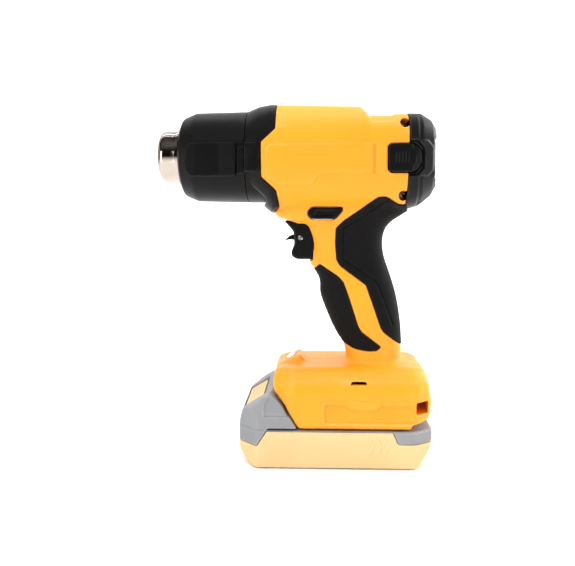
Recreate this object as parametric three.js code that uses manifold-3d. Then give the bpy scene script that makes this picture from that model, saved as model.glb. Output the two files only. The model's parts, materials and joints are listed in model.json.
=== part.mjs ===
import * as THREE from "three";
import { mergeVertices } from "three/addons/utils/BufferGeometryUtils.js";
import Module from "manifold-3d";

// A cordless heat gun standing on its slide-on battery. Millimetres, +Z up, nozzle along -X.
// The origin lies on the ground under the middle of the gun. The user's left side is -Y.

// ---- Driving dimensions ----
const GAP = 0.3; // between pieces fixed to each other
const RUN = 0.5; // between pieces that move past each other
const WALL = 3; // moulded casing

const AXIS_Z = 192; // barrel axis above the ground
const BARREL_WIDTH = 64;
const BARREL_FRONT_X = -32;
const BARREL_REAR_X = 69;
const BARREL_BAY_TOP = 32; // above the axis, over the motor
const BARREL_REAR_TOP = 26.6; // above the axis, behind the step
const BARREL_DEPTH = 34.7; // below the axis
const HEAD_REAR_X = 86.5; // back of the intake cap
const LATCH_LENGTH = 20.7;
const LATCH_HEIGHT = 17;
const LATCH_TRAVEL = 1.5;
const LATCH_PROUD = 1.2;

const NOZZLE_RADIUS = 17.3;
const NOZZLE_WALL = 1.2;
const NOZZLE_TIP_X = -89;
const LIP_INWARD = 3.2;
const LIP_LENGTH = 4.5;
const SHROUD_FRONT_X = -75;
const SHROUD_RADIUS = 29.3;
const SHROUD_WALL = 2.4;
const HEATER_LENGTH = 54;
const HEATER_TURNS = 8;
const COIL_STEPS = 10; // per turn
const COIL_WIRE_RADIUS = 0.8;

const MOTOR_RADIUS = 14;
const MOTOR_LENGTH = 32;
const MOTOR_FRONT_X = 12;
const SHAFT_RADIUS = 1.6;
const FAN_LENGTH = 11;
const FAN_BLADES = 7;

const HANDLE_WIDTH = 34;
const GRIP_THICKNESS = 1.5;
const GRIP_PROUD = 0.4;

const TRIGGER_WIDTH = 16;
const TRIGGER_TRAVEL = 6;
const PLUNGER_RADIUS = 2.4;
const SWITCH_SIZE = [25, 18, 21]; // length, width, height
const LEVER_WIDTH = 4.4;
const LEVER_PIN = [1.25, 139.6]; // x, z
const LEVER_PIN_RADIUS = 1.3;
const BUTTON_TRAVEL = 4; // the cross bolt slides along Y
const BUTTON_PROUD = 1.4;

const BATTERY_WIDTH = 75;
const BATTERY_LENGTH = 120.4;
const BATTERY_FRONT_X = -36.8;
const BATTERY_HEIGHT = 24;
const CELL_RADIUS = 9.1;
const CELL_LENGTH = 65;
const CELL_COUNT = 5;
const SLIDE_WIDTH = 53; // raised part of the battery between the foot's skirts
const SLIDE_TOP_Z = 41.5;
const SLIDE_REAR_X = 56;
const RAIL_HEIGHT = 3;
const RAIL_DEPTH = 2.4;
const BLADE_THICKNESS = 0.8;
const BLADE_SPACING = 22;
const RELEASE_WIDTH = 40.8;

const SCREW_HEAD_RADIUS = 2.8;
const SCREW_RADIUS = 1.3;
const BOSS_RADIUS = 4;
const LEAD_RADIUS = 1.1;

const LANYARD_SLOT = { x0: 72.5, x1: 80.25, z0: 33.5, z1: 41 };
const SECTION_STEPS = 20; // points round a moulded section
const CAVITY_STEPS = 12; // and round the hollow inside it
const stepsFor = (grow) => (grow > -WALL ? SECTION_STEPS : CAVITY_STEPS);
const FAR = 200; // past everything

// ---- Materials ----
const material = (color, roughness, metalness = 0) =>
  new THREE.MeshStandardMaterial({ color, roughness, metalness });
const YELLOW = material(0xfdb733, 0.5);
const BLACK = material(0x1f1f1f, 0.55);
const DARK_GREY = material(0x3a3938, 0.6);
const RUBBER = material(0x2b2a29, 0.85);
const CHROME = material(0xdfd8d4, 0.15, 1);
const STEEL = material(0x9a9a9a, 0.35, 1);
const BRASS = material(0xc9a55a, 0.35, 1);
const MICA = material(0xcbb894, 0.7);
const HEATER_WIRE = material(0x6e6660, 0.5, 1);
const BOARD_GREEN = material(0x1f5a3a, 0.5);
const WHITE_PLASTIC = material(0xe9e6df, 0.5);
const LENS = material(0xf6e7e2, 0.15);
const LEAD_RED = material(0xb3261e, 0.5);
const LEAD_BLACK = material(0x141414, 0.5);
const PACK_GREY = material(0x959595, 0.6);
const PACK_CREAM = material(0xfadb9b, 0.55);
const CELL_BLUE = material(0x3f7fb0, 0.4);

// ---- Solids ----
const solid = (geometry) => {
  const plain = geometry.index ? geometry.toNonIndexed() : geometry.clone();
  plain.deleteAttribute("normal");
  plain.deleteAttribute("uv");
  const merged = mergeVertices(plain, 1e-4);
  const vertProperties = merged.attributes.position.array;
  const triVerts = new Uint32Array(merged.index.array);
  return new wasm.Manifold(new wasm.Mesh({ numProp: 3, vertProperties, triVerts }));
};
const wasm = await Module();
wasm.setup();
const join = (...solids) => solids.reduce((all, one) => all.add(one));
const cut = (base, ...tools) => tools.reduce((rest, tool) => rest.subtract(tool), base);

// A box from its two opposite corners.
const box = (x0, x1, y0, y1, z0, z1) =>
  solid(
    new THREE.BoxGeometry(x1 - x0, y1 - y0, z1 - z0).translate(
      (x0 + x1) / 2,
      (y0 + y1) / 2,
      (z0 + z1) / 2,
    ),
  );

// A side outline of [x, z] points, extruded across from y0 to y1.
const prism = (outline, y0 = -FAR, y1 = FAR) => {
  const shape = new THREE.Shape(outline.map(([x, z]) => new THREE.Vector2(x, z)));
  const geometry = new THREE.ExtrudeGeometry(shape, { depth: y1 - y0, bevelEnabled: false });
  return solid(geometry.rotateX(Math.PI / 2).translate(0, y1, 0));
};

// A turned solid from [radius, along] points, along the axis "x", "y" or "z" through a centre.
const turned = (profile, axis, [cx, cy, cz], steps = 32) => {
  const n = profile.length;
  const area = profile.reduce((sum, [r, h], i) => {
    const [r1, h1] = profile[(i + 1) % n];
    return sum + r * h1 - r1 * h;
  }, 0);
  const points = (area > 0 ? profile : [...profile].reverse()).map(
    ([r, h]) => new THREE.Vector2(r, h),
  );
  if (points[0].x > 0) points.push(points[0].clone());
  const geometry = new THREE.LatheGeometry(points, steps);
  if (axis === "x") geometry.rotateZ(-Math.PI / 2);
  if (axis === "z") geometry.rotateX(Math.PI / 2);
  return solid(geometry.translate(cx, cy, cz));
};
const rod = (radius, from, to, axis, centre, steps = 20) =>
  turned([[0, from], [radius, from], [radius, to], [0, to]], axis, centre, steps);
const pipe = (inner, outer, from, to, axis, centre, steps = 20) =>
  turned([[inner, from], [outer, from], [outer, to], [inner, to]], axis, centre, steps);
const onAxis = [0, 0, AXIS_Z];

// A solid through rings of points that run counter-clockwise about the way they follow each other.
const loft = (rings) => {
  const steps = rings[0].length;
  const middle = (ring) =>
    ring.reduce((sum, p) => sum.add(p), new THREE.Vector3()).divideScalar(steps);
  const points = [...rings.flat(), middle(rings[0]), middle(rings.at(-1))];
  const first = points.length - 2;
  const index = [];
  for (let i = 0; i < steps; i++) {
    const next = (i + 1) % steps;
    for (let r = 0; r < rings.length - 1; r++) {
      const [a, b] = [r * steps, (r + 1) * steps];
      index.push(a + i, a + next, b + next, a + i, b + next, b + i);
    }
    const last = (rings.length - 1) * steps;
    index.push(first, next, i, first + 1, last + i, last + next);
  }
  const geometry = new THREE.BufferGeometry().setFromPoints(points);
  geometry.setIndex(index);
  return solid(geometry);
};

// Superellipse: a rounded section whose corners fill out as power grows.
const superellipse = (power, steps, place) =>
  Array.from({ length: steps }, (_, i) => {
    const angle = (2 * Math.PI * i) / steps;
    const bend = (value) => Math.sign(value) * Math.abs(value) ** (2 / power);
    return place(bend(Math.cos(angle)), bend(Math.sin(angle)));
  });

// Moves every edge of a counter-clockwise outline outwards.
const grown = (outline, distance) => {
  const n = outline.length;
  const normal = ([x0, z0], [x1, z1]) => {
    const length = Math.hypot(x1 - x0, z1 - z0);
    return [(z1 - z0) / length, (x0 - x1) / length];
  };
  return outline.map((point, i) => {
    const before = normal(outline[(i + n - 1) % n], point);
    const after = normal(point, outline[(i + 1) % n]);
    const share = distance / (1 + before[0] * after[0] + before[1] * after[1]);
    return [point[0] + share * (before[0] + after[0]), point[1] + share * (before[1] + after[1])];
  });
};

// ---- Head: barrel, collar and cap share one family of sections ----
const HALF = BARREL_WIDTH / 2;

// Sections are [x, height above axis, depth below axis, half width, power].
const throughSections = (sections, grow) =>
  loft(
    sections.map(([x, above, below, half, power]) =>
      superellipse(
        power,
        stepsFor(grow),
        (u, v) =>
          new THREE.Vector3(
            x,
            u * (half + grow),
            AXIS_Z + v * ((v > 0 ? above : below) + grow),
          ),
      ),
    ),
  );

const barrel = (grow, reach = 0) =>
  throughSections(
    [
      [BARREL_FRONT_X - reach, SHROUD_RADIUS + 0.3, SHROUD_RADIUS + 0.3, HALF - 2.4, 2],
      [-28, SHROUD_RADIUS + 0.6, SHROUD_RADIUS + 0.7, HALF - 2, 2],
      [-21, BARREL_BAY_TOP + 1, 32, HALF - 0.2, 2.4],
      [-13, BARREL_BAY_TOP + 1, BARREL_DEPTH - 0.1, HALF, 2.6],
      [39.5, BARREL_BAY_TOP - 0.4, BARREL_DEPTH, HALF, 2.8],
      [44.5, BARREL_REAR_TOP, BARREL_DEPTH, HALF - 0.4, 3],
      [BARREL_REAR_X + 3 + reach, BARREL_REAR_TOP, BARREL_DEPTH, HALF - 1, 3],
    ],
    grow,
  );

const capShape = (grow, reach = 0) =>
  throughSections(
    [
      [BARREL_REAR_X - 3 - reach, BARREL_REAR_TOP + 0.7, 35, HALF - 0.7, 3],
      [HEAD_REAR_X - 7.5, BARREL_REAR_TOP + 0.6, 31, HALF - 1.6, 3],
      [HEAD_REAR_X - 0.8 + Math.min(grow, 0), 20.5, 24.6, HALF - 7, 3],
      [HEAD_REAR_X + Math.min(grow, 0), 19, 22.5, HALF - 8.5, 3],
    ],
    grow,
  );

// Side outlines of the regions that the black front collar and the black rear cap take.
const COLLAR_ZONE = [
  [-45, 140],
  [-22, 150],
  [-16.2, 155.8],
  [-11.8, 159.9],
  [-13.2, 169.4],
  [-22, 177.7],
  [-22, 198.7],
  [-13.3, 207],
  [-13, 240],
  [-45, 240],
];
const CAP_ZONE = [
  [BARREL_REAR_X - 1, 160.5],
  [BARREL_REAR_X + 4, 156],
  [FAR, 140],
  [FAR, 240],
  [BARREL_REAR_X + 1.5, 240],
];

// ---- Handle, trigger housing and foot ----
// Stations are [z, front x, back x, half width].
const HANDLE_HALF = HANDLE_WIDTH / 2;
const HANDLE_STATIONS = [
  [50, 33, 68, HANDLE_HALF + 3],
  [57, 32, 68, HANDLE_HALF + 2.5],
  [62, 31.5, 67.5, HANDLE_HALF + 1],
  [71, 29.8, 67, HANDLE_HALF],
  [83, 23, 66.4, HANDLE_HALF],
  [95.5, 17.8, 64.7, HANDLE_HALF + 0.5],
  [104, 14.7, 63, HANDLE_HALF + 0.2],
  [112, 15.1, 60.6, HANDLE_HALF],
  [118, 12.4, 58.6, HANDLE_HALF - 0.5],
  [122, 7.5, 57.2, HANDLE_HALF - 1],
  [127.7, 7, 55.2, HANDLE_HALF - 1.3],
  [136, 8.2, 53.9, HANDLE_HALF - 1.5],
  [144, 6.3, 55, HANDLE_HALF - 0.8],
  [150, 3, 58.5, HANDLE_HALF + 0.3],
  [157, -2, 71, HANDLE_HALF + 1.5],
  [167, -4, 69, HANDLE_HALF + 2],
];
const HOUSING_STATIONS = [
  [149.6, -2, 56, HANDLE_HALF - 2.5],
  [152, -12, 58, HANDLE_HALF],
  [156, -15.8, 62, HANDLE_HALF + 1.5],
  [167, -15.5, 66, HANDLE_HALF + 3],
];
const throughStations = (stations, power, grow) =>
  loft(
    stations.map(([z, front, back, half]) =>
      superellipse(
        power,
        stepsFor(grow),
        (u, v) =>
          new THREE.Vector3(
            (front + back) / 2 + u * ((back - front) / 2 + grow),
            v * (half + grow),
            z,
          ),
      ),
    ),
  );

const FOOT_HALF = BATTERY_WIDTH / 2 - 0.6;
const FOOT_REAR_X = 83;
const FOOT_OUTLINE = [
  [1, BATTERY_HEIGHT + GAP],
  [70, BATTERY_HEIGHT + GAP],
  [70.3, 27.5],
  [80.3, 29],
  [82, 32.5],
  [FOOT_REAR_X, 40],
  [82.3, 46.5],
  [80.5, 53.5],
  [78, 57.5],
  [69, 60],
  [2.3, 60],
  [-9.3, 59.1],
  [-14, 57],
  [-15.5, 49.5],
  [-14.4, 45],
  [-7.5, 38.5],
  [-4.7, 33.5],
];
// A rectangle with cut corners, seen from above.
const cutCorners = (z, front, rear, half, frontCut, rearCut) =>
  [
    [rear, half - rearCut[1]],
    [rear - rearCut[0], half],
    [front + frontCut[0], half],
    [front, half - frontCut[1]],
    [front, frontCut[1] - half],
    [front + frontCut[0], -half],
    [rear - rearCut[0], -half],
    [rear, rearCut[1] - half],
  ].map(([x, y]) => new THREE.Vector3(x, y, z));
const FOOT_CORNER = [10.5, 9];
const foot = (grow) => {
  const level = (z, front, half) =>
    cutCorners(z, front - grow, FOOT_REAR_X + 0.2 + grow, half + grow, FOOT_CORNER, FOOT_CORNER);
  const plan = loft([
    level(BATTERY_HEIGHT - 5, -13, FOOT_HALF),
    level(46, -15.6, FOOT_HALF - 0.8),
    level(52, -15.6, FOOT_HALF - 3.5),
    level(57, -14, FOOT_HALF - 8.5),
    level(61, -12, FOOT_HALF - 13.5),
  ]);
  return prism(grown(FOOT_OUTLINE, grow)).intersect(plan);
};

const LAMP_OUTLINE = [
  [-13, 55],
  [9, 55],
  [0.8, 64.6],
  [-9.3, 59.1],
];
const LAMP_HALF = 10;
const LAMP_TILT = Math.atan2(64.3 - 59.1, 9.3);
const LAMP_CENTRE = [-4.8, 0, 61.6];
const lampHousing = (grow) =>
  prism(grown(LAMP_OUTLINE, grow), -LAMP_HALF - grow, LAMP_HALF + grow);

// The whole moulded body, grown or shrunk all over.
const bodyShape = (grow) =>
  join(
    barrel(grow),
    throughStations(HANDLE_STATIONS, 2.6, grow),
    throughStations(HOUSING_STATIONS, 3.4, grow),
    foot(grow),
    lampHousing(grow),
  );

// ---- Outlines of the rubber grips, seen from the side ----
const REAR_GRIP = [
  [67, 70.1],
  [90, 68],
  [90, 161],
  [69, 161],
  [62.5, 161.4],
  [55.1, 165.8],
  [50, 165.8],
  [28.9, 151.1],
  [24, 146.4],
  [23.6, 136.9],
  [24.5, 125.9],
  [26.7, 122.3],
  [43, 110.2],
  [52.5, 82.9],
  [54.4, 80],
];
const FRONT_GRIP = [
  [30.4, 71.7],
  [36.2, 69.2],
  [45, 68.1],
  [50.4, 68.5],
  [53, 71],
  [40.6, 80.5],
  [38.4, 84.2],
  [33.3, 100.3],
  [29.2, 112],
  [26, 115.6],
  [13.9, 123.6],
  [11, 120.3],
  [0, 118],
  [0, 72],
];

// ---- Screws: [name, x, z, side the head is on] ----
const SCREWS = [
  ["body_screw_rear_top", BARREL_REAR_X - 3.4, 210.4, -1],
  ["body_screw_rear_bottom", BARREL_REAR_X - 4, 166.4, -1],
  ["body_screw_barrel_top", 3, 217.4, 1],
  ["body_screw_barrel_bottom", 4.5, 163.4, 1],
  ["body_screw_handle", 36, 100, 1],
  ["body_screw_foot", 73, 50, 1],
];
const SCREW_SINK = 12; // from the split plane to the seat of the head
const SCREW_REACH = 9; // past the split plane
const screwProfile = (slack) => {
  const [head, shank] = [SCREW_HEAD_RADIUS + slack, SCREW_RADIUS + slack];
  return [
    [0, -SCREW_REACH - slack],
    [shank, -SCREW_REACH - slack],
    [shank, SCREW_SINK - slack],
    [head, SCREW_SINK - slack],
    [head, slack ? FAR : SCREW_SINK + 2],
    [0, slack ? FAR : SCREW_SINK + 2],
  ];
};
const screwShape = (x, z, side, slack) =>
  turned(
    screwProfile(slack).map(([r, h]) => [r, h * side]),
    "y",
    [x, 0, z],
    12,
  );

// ---- Small regions that several pieces share ----
const LATCH_X0 = 55.25;
const LATCH_Z = AXIS_Z - 3.2;
const LATCH_OUTLINE = (grow) => {
  const [x0, x1] = [LATCH_X0, LATCH_X0 + LATCH_LENGTH];
  const [z0, z1] = [LATCH_Z - LATCH_HEIGHT / 2, LATCH_Z + LATCH_HEIGHT / 2];
  const corner = [4, 4.5];
  return grown(
    [
      [x0, z0],
      [x1 - corner[0], z0],
      [x1, z0 + corner[1]],
      [x1, z1 - corner[1]],
      [x1 - corner[0], z1],
      [x0, z1],
    ],
    grow,
  );
};
const LATCH_FACE_Y = HALF - 0.8 + LATCH_PROUD;
const LATCH_THICKNESS = 3;
const latchWindow = (side, reach) => {
  const inner = side * (LATCH_FACE_Y - LATCH_THICKNESS - LATCH_TRAVEL - RUN);
  const [y0, y1] = [Math.min(inner, side * FAR), Math.max(inner, side * FAR)];
  const pad = prism(LATCH_OUTLINE(RUN), y0, y1);
  const z0 = LATCH_Z - LATCH_HEIGHT / 2 - RUN;
  const z1 = LATCH_Z + LATCH_HEIGHT / 2 + RUN;
  return reach ? join(pad, box(LATCH_X0 + 5, FAR, y0, y1, z0, z1)) : pad;
};

const BUTTON_OUTLINE = [
  [9.2, 151.9],
  [23, 151.9],
  [28, 157.2],
  [28, 159.3],
  [9.2, 159.3],
  [6.7, 156.9],
  [6.7, 154.3],
];
const TRIGGER_OUTLINE = [
  [-0.9, 125.9],
  [14, 125.9],
  [14, 151],
  [-9.3, 151],
  [-3, 143.9],
  [-2.5, 135.5],
  [-4.5, 130.9],
  [-4.2, 127.9],
];
const TRIGGER_BACK_X = 14;
const SWITCH_FRONT_X = TRIGGER_BACK_X + TRIGGER_TRAVEL + RUN;
const PLUNGER_Z = 138;
const triggerPocket = () => {
  const half = TRIGGER_WIDTH / 2 + RUN;
  return join(
    box(-11, SWITCH_FRONT_X, -half, half, 125.9 - RUN, 151 + RUN),
    box(-20, 8, -half, half, 130, 149),
  );
};
const SWITCH_X1 = SWITCH_FRONT_X + SWITCH_SIZE[0];

// ---- Foot channel that takes the battery's slide ----
const CHANNEL_TOP_Z = SLIDE_TOP_Z + RUN;
const CHANNEL_HALF = SLIDE_WIDTH / 2 + RUN;
const CHANNEL_REAR_X = 70;
const RAIL_Z = BATTERY_HEIGHT + 2.5;
const railRib = (side, slack) => {
  const inner = CHANNEL_HALF - RAIL_DEPTH - slack;
  const [y0, y1] = side > 0 ? [inner, FOOT_HALF - 2] : [2 - FOOT_HALF, -inner];
  return box(6 - 3 * slack, CHANNEL_REAR_X, y0, y1, RAIL_Z - slack, RAIL_Z + RAIL_HEIGHT + slack);
};
const TERMINAL = { x0: SLIDE_REAR_X + 3, x1: CHANNEL_REAR_X - GAP, half: 20, z0: 30 };
const bladeBox = (side, slack) => {
  const y = (side * BLADE_SPACING) / 2;
  const half = BLADE_THICKNESS / 2 + slack;
  return box(45, TERMINAL.x1 - 2 + slack, y - half, y + half, 31 - slack, 38 + slack);
};

// ---- Sunk field on each side of the foot ----
const RECESS_DEPTH = 1.2;
const RAIL_RECESS = [
  [17.5, 30],
  [72, 30],
  [72, 39.3],
  [51, 39.3],
  [48, 36.3],
  [32.2, 36.3],
  [29, 39.3],
  [17.5, 39.3],
];

// ---- Leads inside the casing ----
const lead = (points, radius) => {
  const path = new THREE.CatmullRomCurve3(points.map((p) => new THREE.Vector3(...p)));
  const section = new THREE.Shape(
    superellipse(2, 6, (u, v) => new THREE.Vector2(u * radius, v * radius)),
  );
  const options = { steps: 3 * points.length, bevelEnabled: false, extrudePath: path };
  return solid(new THREE.ExtrudeGeometry(section, options));
};
// A wire wound into a coil; place turns [along, u, v] about the coil's own axis into a point.
const coil = (turns, length, radius, wireRadius, place) => {
  const steps = turns * COIL_STEPS;
  const path = new THREE.CatmullRomCurve3(
    Array.from({ length: steps + 1 }, (_, i) => {
      const angle = (2 * Math.PI * i) / COIL_STEPS;
      const along = (length * i) / steps;
      return new THREE.Vector3(...place(along, radius * Math.cos(angle), radius * Math.sin(angle)));
    }),
  );
  const wire = new THREE.Shape(
    superellipse(2, 4, (u, v) => new THREE.Vector2(u * wireRadius, v * wireRadius)),
  );
  return solid(new THREE.ExtrudeGeometry(wire, { steps, bevelEnabled: false, extrudePath: path }));
};
const LEAD_HOLE = { x0: 61, x1: 67, half: 7 };
const batteryLeadRoute = (side) => [
  [(LEAD_HOLE.x0 + LEAD_HOLE.x1) / 2, side * 3.5, CHANNEL_TOP_Z + 0.8],
  [62.5, side * 3.5, 48],
  [55, side * 3.5, 60],
  [50.5, side * 3.5, 82],
  [48.5, side * 3.5, 105],
  [SWITCH_X1 + 2.6, side * 3.5, 124],
  [SWITCH_X1 + 2, side * 3.5, 132],
];
const motorLeadRoute = (side) => [
  [SWITCH_X1 + 2, side * 6, 143],
  [SWITCH_X1 + 3, side * 6, 150],
  [SWITCH_X1 - 3, side * 6, 162],
  [MOTOR_FRONT_X + MOTOR_LENGTH + 1.6, side * 6, 172],
  [MOTOR_FRONT_X + MOTOR_LENGTH + 1.6, side * 6, AXIS_Z - 8],
];

// ---- Pieces of the casing ----
// One side of the plane that the mouldings are split along.
const halfSpace = (side) =>
  box(-FAR, FAR, ...(side > 0 ? [GAP / 2, FAR] : [-FAR, -GAP / 2]), 0, 2 * FAR);
const bodyShell = (side) => {
  const skin = bodyShape(0);
  const footFloor = box(-FAR, FAR, -FAR, FAR, -FAR, CHANNEL_TOP_Z + WALL);
  const cavity = join(
    barrel(-WALL, 8),
    throughStations(HANDLE_STATIONS, 2.6, -WALL),
    throughStations(HOUSING_STATIONS, 3.4, -WALL),
    cut(foot(-WALL), footFloor),
  );
  const grips = cut(
    join(prism(REAR_GRIP), prism(FRONT_GRIP)),
    bodyShape(-GRIP_THICKNESS - GAP),
  );
  const bosses = SCREWS.map(([, x, z]) =>
    rod(BOSS_RADIUS, -FAR, FAR, "y", [x, 0, z]).intersect(skin),
  );
  const rails = join(railRib(1, 0), railRib(-1, 0)).intersect(foot(0));
  const channel = box(-30, CHANNEL_REAR_X, -CHANNEL_HALF, CHANNEL_HALF, 0, CHANNEL_TOP_Z);
  const { x0, x1, z0, z1 } = LANYARD_SLOT;
  let shell = join(cut(skin, cavity, channel), ...bosses, rails);
  shell = cut(
    shell,
    grips,
    prism(grown(COLLAR_ZONE, GAP)),
    prism(grown(CAP_ZONE, GAP)),
    latchWindow(side, true),
    triggerPocket(),
    prism(grown(BUTTON_OUTLINE, GAP)),
    lampLens(GAP),
    box(LEAD_HOLE.x0, LEAD_HOLE.x1, -LEAD_HOLE.half, LEAD_HOLE.half, CHANNEL_TOP_Z - 1, 50),
    box(x0, x1, -FAR, FAR, z0, z1),
    prism(RAIL_RECESS, FOOT_HALF - RECESS_DEPTH, FAR),
    prism(RAIL_RECESS, -FAR, RECESS_DEPTH - FOOT_HALF),
    ...SCREWS.map(([, x, z, head]) => screwShape(x, z, head, GAP)),
  );
  return shell.intersect(halfSpace(side));
};

const grip = (outline, side) => {
  const skin = cut(bodyShape(GRIP_PROUD), bodyShape(-GRIP_THICKNESS));
  return cut(
    skin.intersect(prism(grown(outline, -GAP))).intersect(halfSpace(side)),
    prism(grown(CAP_ZONE, GAP)),
    triggerPocket(),
    prism(grown(BUTTON_OUTLINE, GAP)),
    ...SCREWS.map(([, x, z, head]) => screwShape(x, z, head, GAP)),
  );
};

const shroudCollar = () =>
  cut(
    barrel(GRIP_PROUD).intersect(prism(COLLAR_ZONE)),
    rod(SHROUD_RADIUS - WALL, -FAR, FAR, "x", onAxis, SECTION_STEPS),
    ...SCREWS.map(([, x, z]) => rod(BOSS_RADIUS + GAP, -FAR, FAR, "y", [x, 0, z])),
  );

const frontShroud = () => {
  const rear = BARREL_FRONT_X - GAP;
  const bore = NOZZLE_RADIUS + 0.9;
  const rim = NOZZLE_RADIUS + 4.2;
  const shell = turned(
    [
      [bore, SHROUD_FRONT_X],
      [rim, SHROUD_FRONT_X],
      [rim + 3.5, SHROUD_FRONT_X + 1.7],
      [SHROUD_RADIUS - 1, SHROUD_FRONT_X + 9.3],
      [SHROUD_RADIUS, rear],
      [SHROUD_RADIUS - SHROUD_WALL, rear],
      [SHROUD_RADIUS - SHROUD_WALL - 1, SHROUD_FRONT_X + 9.3],
      [rim, SHROUD_FRONT_X + 4],
      [bore, SHROUD_FRONT_X + 4],
    ],
    "x",
    onAxis,
    SECTION_STEPS,
  );
  const inside = rod(SHROUD_RADIUS - SHROUD_WALL, -FAR, FAR, "x", onAxis, SECTION_STEPS);
  const pads = [-1, 1].flatMap((side) =>
    [
      [SHROUD_FRONT_X + 6.4, rear - 5.2, 179.2, 199.3, 1.1],
      [rear - 4.3, rear, 179.5, 195.8, 0.9],
    ].map(([x0, x1, z0, z1, proud]) => {
      const y = side * (SHROUD_RADIUS - 2);
      const face = side * (SHROUD_RADIUS + proud);
      return cut(box(x0, x1, Math.min(y, face), Math.max(y, face), z0, z1), inside);
    }),
  );
  return join(shell, ...pads);
};

const nozzleRear = SHROUD_FRONT_X + 16 + HEATER_LENGTH;
const nozzle = () => {
  const inner = NOZZLE_RADIUS - NOZZLE_WALL;
  const mouth = NOZZLE_RADIUS - LIP_INWARD;
  // The lip curls inwards; depth is how far it stands in from the tip.
  const curl = (width, depth) =>
    [0, 1, 2, 3, 4].map((i) => {
      const angle = (Math.PI * i) / 8;
      const length = LIP_LENGTH - depth;
      const along = NOZZLE_TIP_X + depth + length * (1 - Math.cos(angle));
      return [mouth + width * Math.sin(angle), along];
    });
  return turned(
    [
      ...curl(inner - mouth, NOZZLE_WALL).reverse(),
      ...curl(LIP_INWARD, 0),
      [NOZZLE_RADIUS, nozzleRear - 2],
      [NOZZLE_RADIUS + 3, nozzleRear - 2],
      [NOZZLE_RADIUS + 3, nozzleRear],
      [inner, nozzleRear],
    ],
    "x",
    onAxis,
    SECTION_STEPS,
  );
};

const SHIELD_FRONT_X = SHROUD_FRONT_X + 14 + GAP;
const seatRing = () =>
  pipe(
    NOZZLE_RADIUS + GAP,
    SHROUD_RADIUS - SHROUD_WALL - 1.4,
    SHROUD_FRONT_X + 10,
    SHIELD_FRONT_X - GAP,
    "x",
    onAxis,
  );

const heatShield = () =>
  pipe(NOZZLE_RADIUS + 4.3, NOZZLE_RADIUS + 5.1, SHIELD_FRONT_X, nozzleRear + 4, "x", onAxis);

const MICA_OUTER = NOZZLE_RADIUS - NOZZLE_WALL - GAP;
const HEATER_X0 = nozzleRear - HEATER_LENGTH;
const micaTube = () => pipe(MICA_OUTER - 1, MICA_OUTER, HEATER_X0 - 2, nozzleRear, "x", onAxis);

const COIL_RADIUS = MICA_OUTER - 1 - GAP - COIL_WIRE_RADIUS - 0.2;
// The coil is wound in straight chords, so its core stays inside their middles.
const CORE_HALF = COIL_RADIUS * Math.cos(Math.PI / COIL_STEPS) - COIL_WIRE_RADIUS - GAP;
const heaterCore = () =>
  join(
    box(HEATER_X0, nozzleRear, -CORE_HALF, CORE_HALF, AXIS_Z - 0.6, AXIS_Z + 0.6),
    box(HEATER_X0, nozzleRear, -0.6, 0.6, AXIS_Z - CORE_HALF, AXIS_Z + CORE_HALF),
  );

const heaterCoil = () =>
  coil(HEATER_TURNS, HEATER_LENGTH - 10, COIL_RADIUS, COIL_WIRE_RADIUS, (along, u, v) => [
    HEATER_X0 + 5 + along,
    u,
    AXIS_Z + v,
  ]);

const thermalCutoff = () => rod(2, -7, 7, "y", [nozzleRear + 5, 0, AXIS_Z + 8], 12);

// ---- Motor and fan ----
const MOTOR_REAR_X = MOTOR_FRONT_X + MOTOR_LENGTH;
const FAN_FRONT_X = MOTOR_REAR_X + 4;
const FAN_RADIUS = Math.min(HALF, BARREL_REAR_TOP) - WALL - 1;
const motor = () =>
  cut(
    join(
      rod(MOTOR_RADIUS, MOTOR_FRONT_X, MOTOR_REAR_X, "x", onAxis),
      rod(5, MOTOR_FRONT_X - 2.5, MOTOR_FRONT_X + 1, "x", onAxis),
    ),
    rod(SHAFT_RADIUS + GAP, MOTOR_FRONT_X + 6, FAR, "x", onAxis, 16),
  );

const motorMount = () => {
  const outer = Math.min(HALF, BARREL_BAY_TOP) - WALL - GAP - 0.4;
  const seat = MOTOR_RADIUS + GAP;
  const [x0, x1] = [MOTOR_FRONT_X + 8, MOTOR_FRONT_X + 20];
  const vanes = [0, 1, 2, 3, 4].map((i) => {
    const vane = new THREE.BoxGeometry(x1 - x0 - 2, 1.6, outer - seat - 1.4);
    vane.translate((x0 + x1) / 2, 0, (outer + seat) / 2);
    return solid(vane.rotateX((2 * Math.PI * (i + 0.5)) / 5).translate(0, 0, AXIS_Z));
  });
  return join(
    pipe(seat, seat + 2, x0, x1, "x", onAxis),
    pipe(outer - 1.8, outer, x0, x1, "x", onAxis),
    ...vanes,
  );
};

const shaft = () =>
  rod(SHAFT_RADIUS, MOTOR_FRONT_X + 8, FAN_FRONT_X + FAN_LENGTH + 1, "x", onAxis, 16);

const fan = () => {
  const hub = pipe(SHAFT_RADIUS + GAP, 8, FAN_FRONT_X, FAN_FRONT_X + FAN_LENGTH, "x", onAxis, 24);
  const blades = Array.from({ length: FAN_BLADES }, (_, i) => {
    const blade = new THREE.BoxGeometry(FAN_LENGTH + 1.5, 1.3, FAN_RADIUS - 7);
    blade.rotateZ(0.7);
    blade.translate(FAN_FRONT_X + FAN_LENGTH / 2, 0, 7 + (FAN_RADIUS - 7) / 2);
    return solid(blade.rotateX((2 * Math.PI * i) / FAN_BLADES).translate(0, 0, AXIS_Z));
  });
  return join(hub, ...blades);
};

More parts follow.
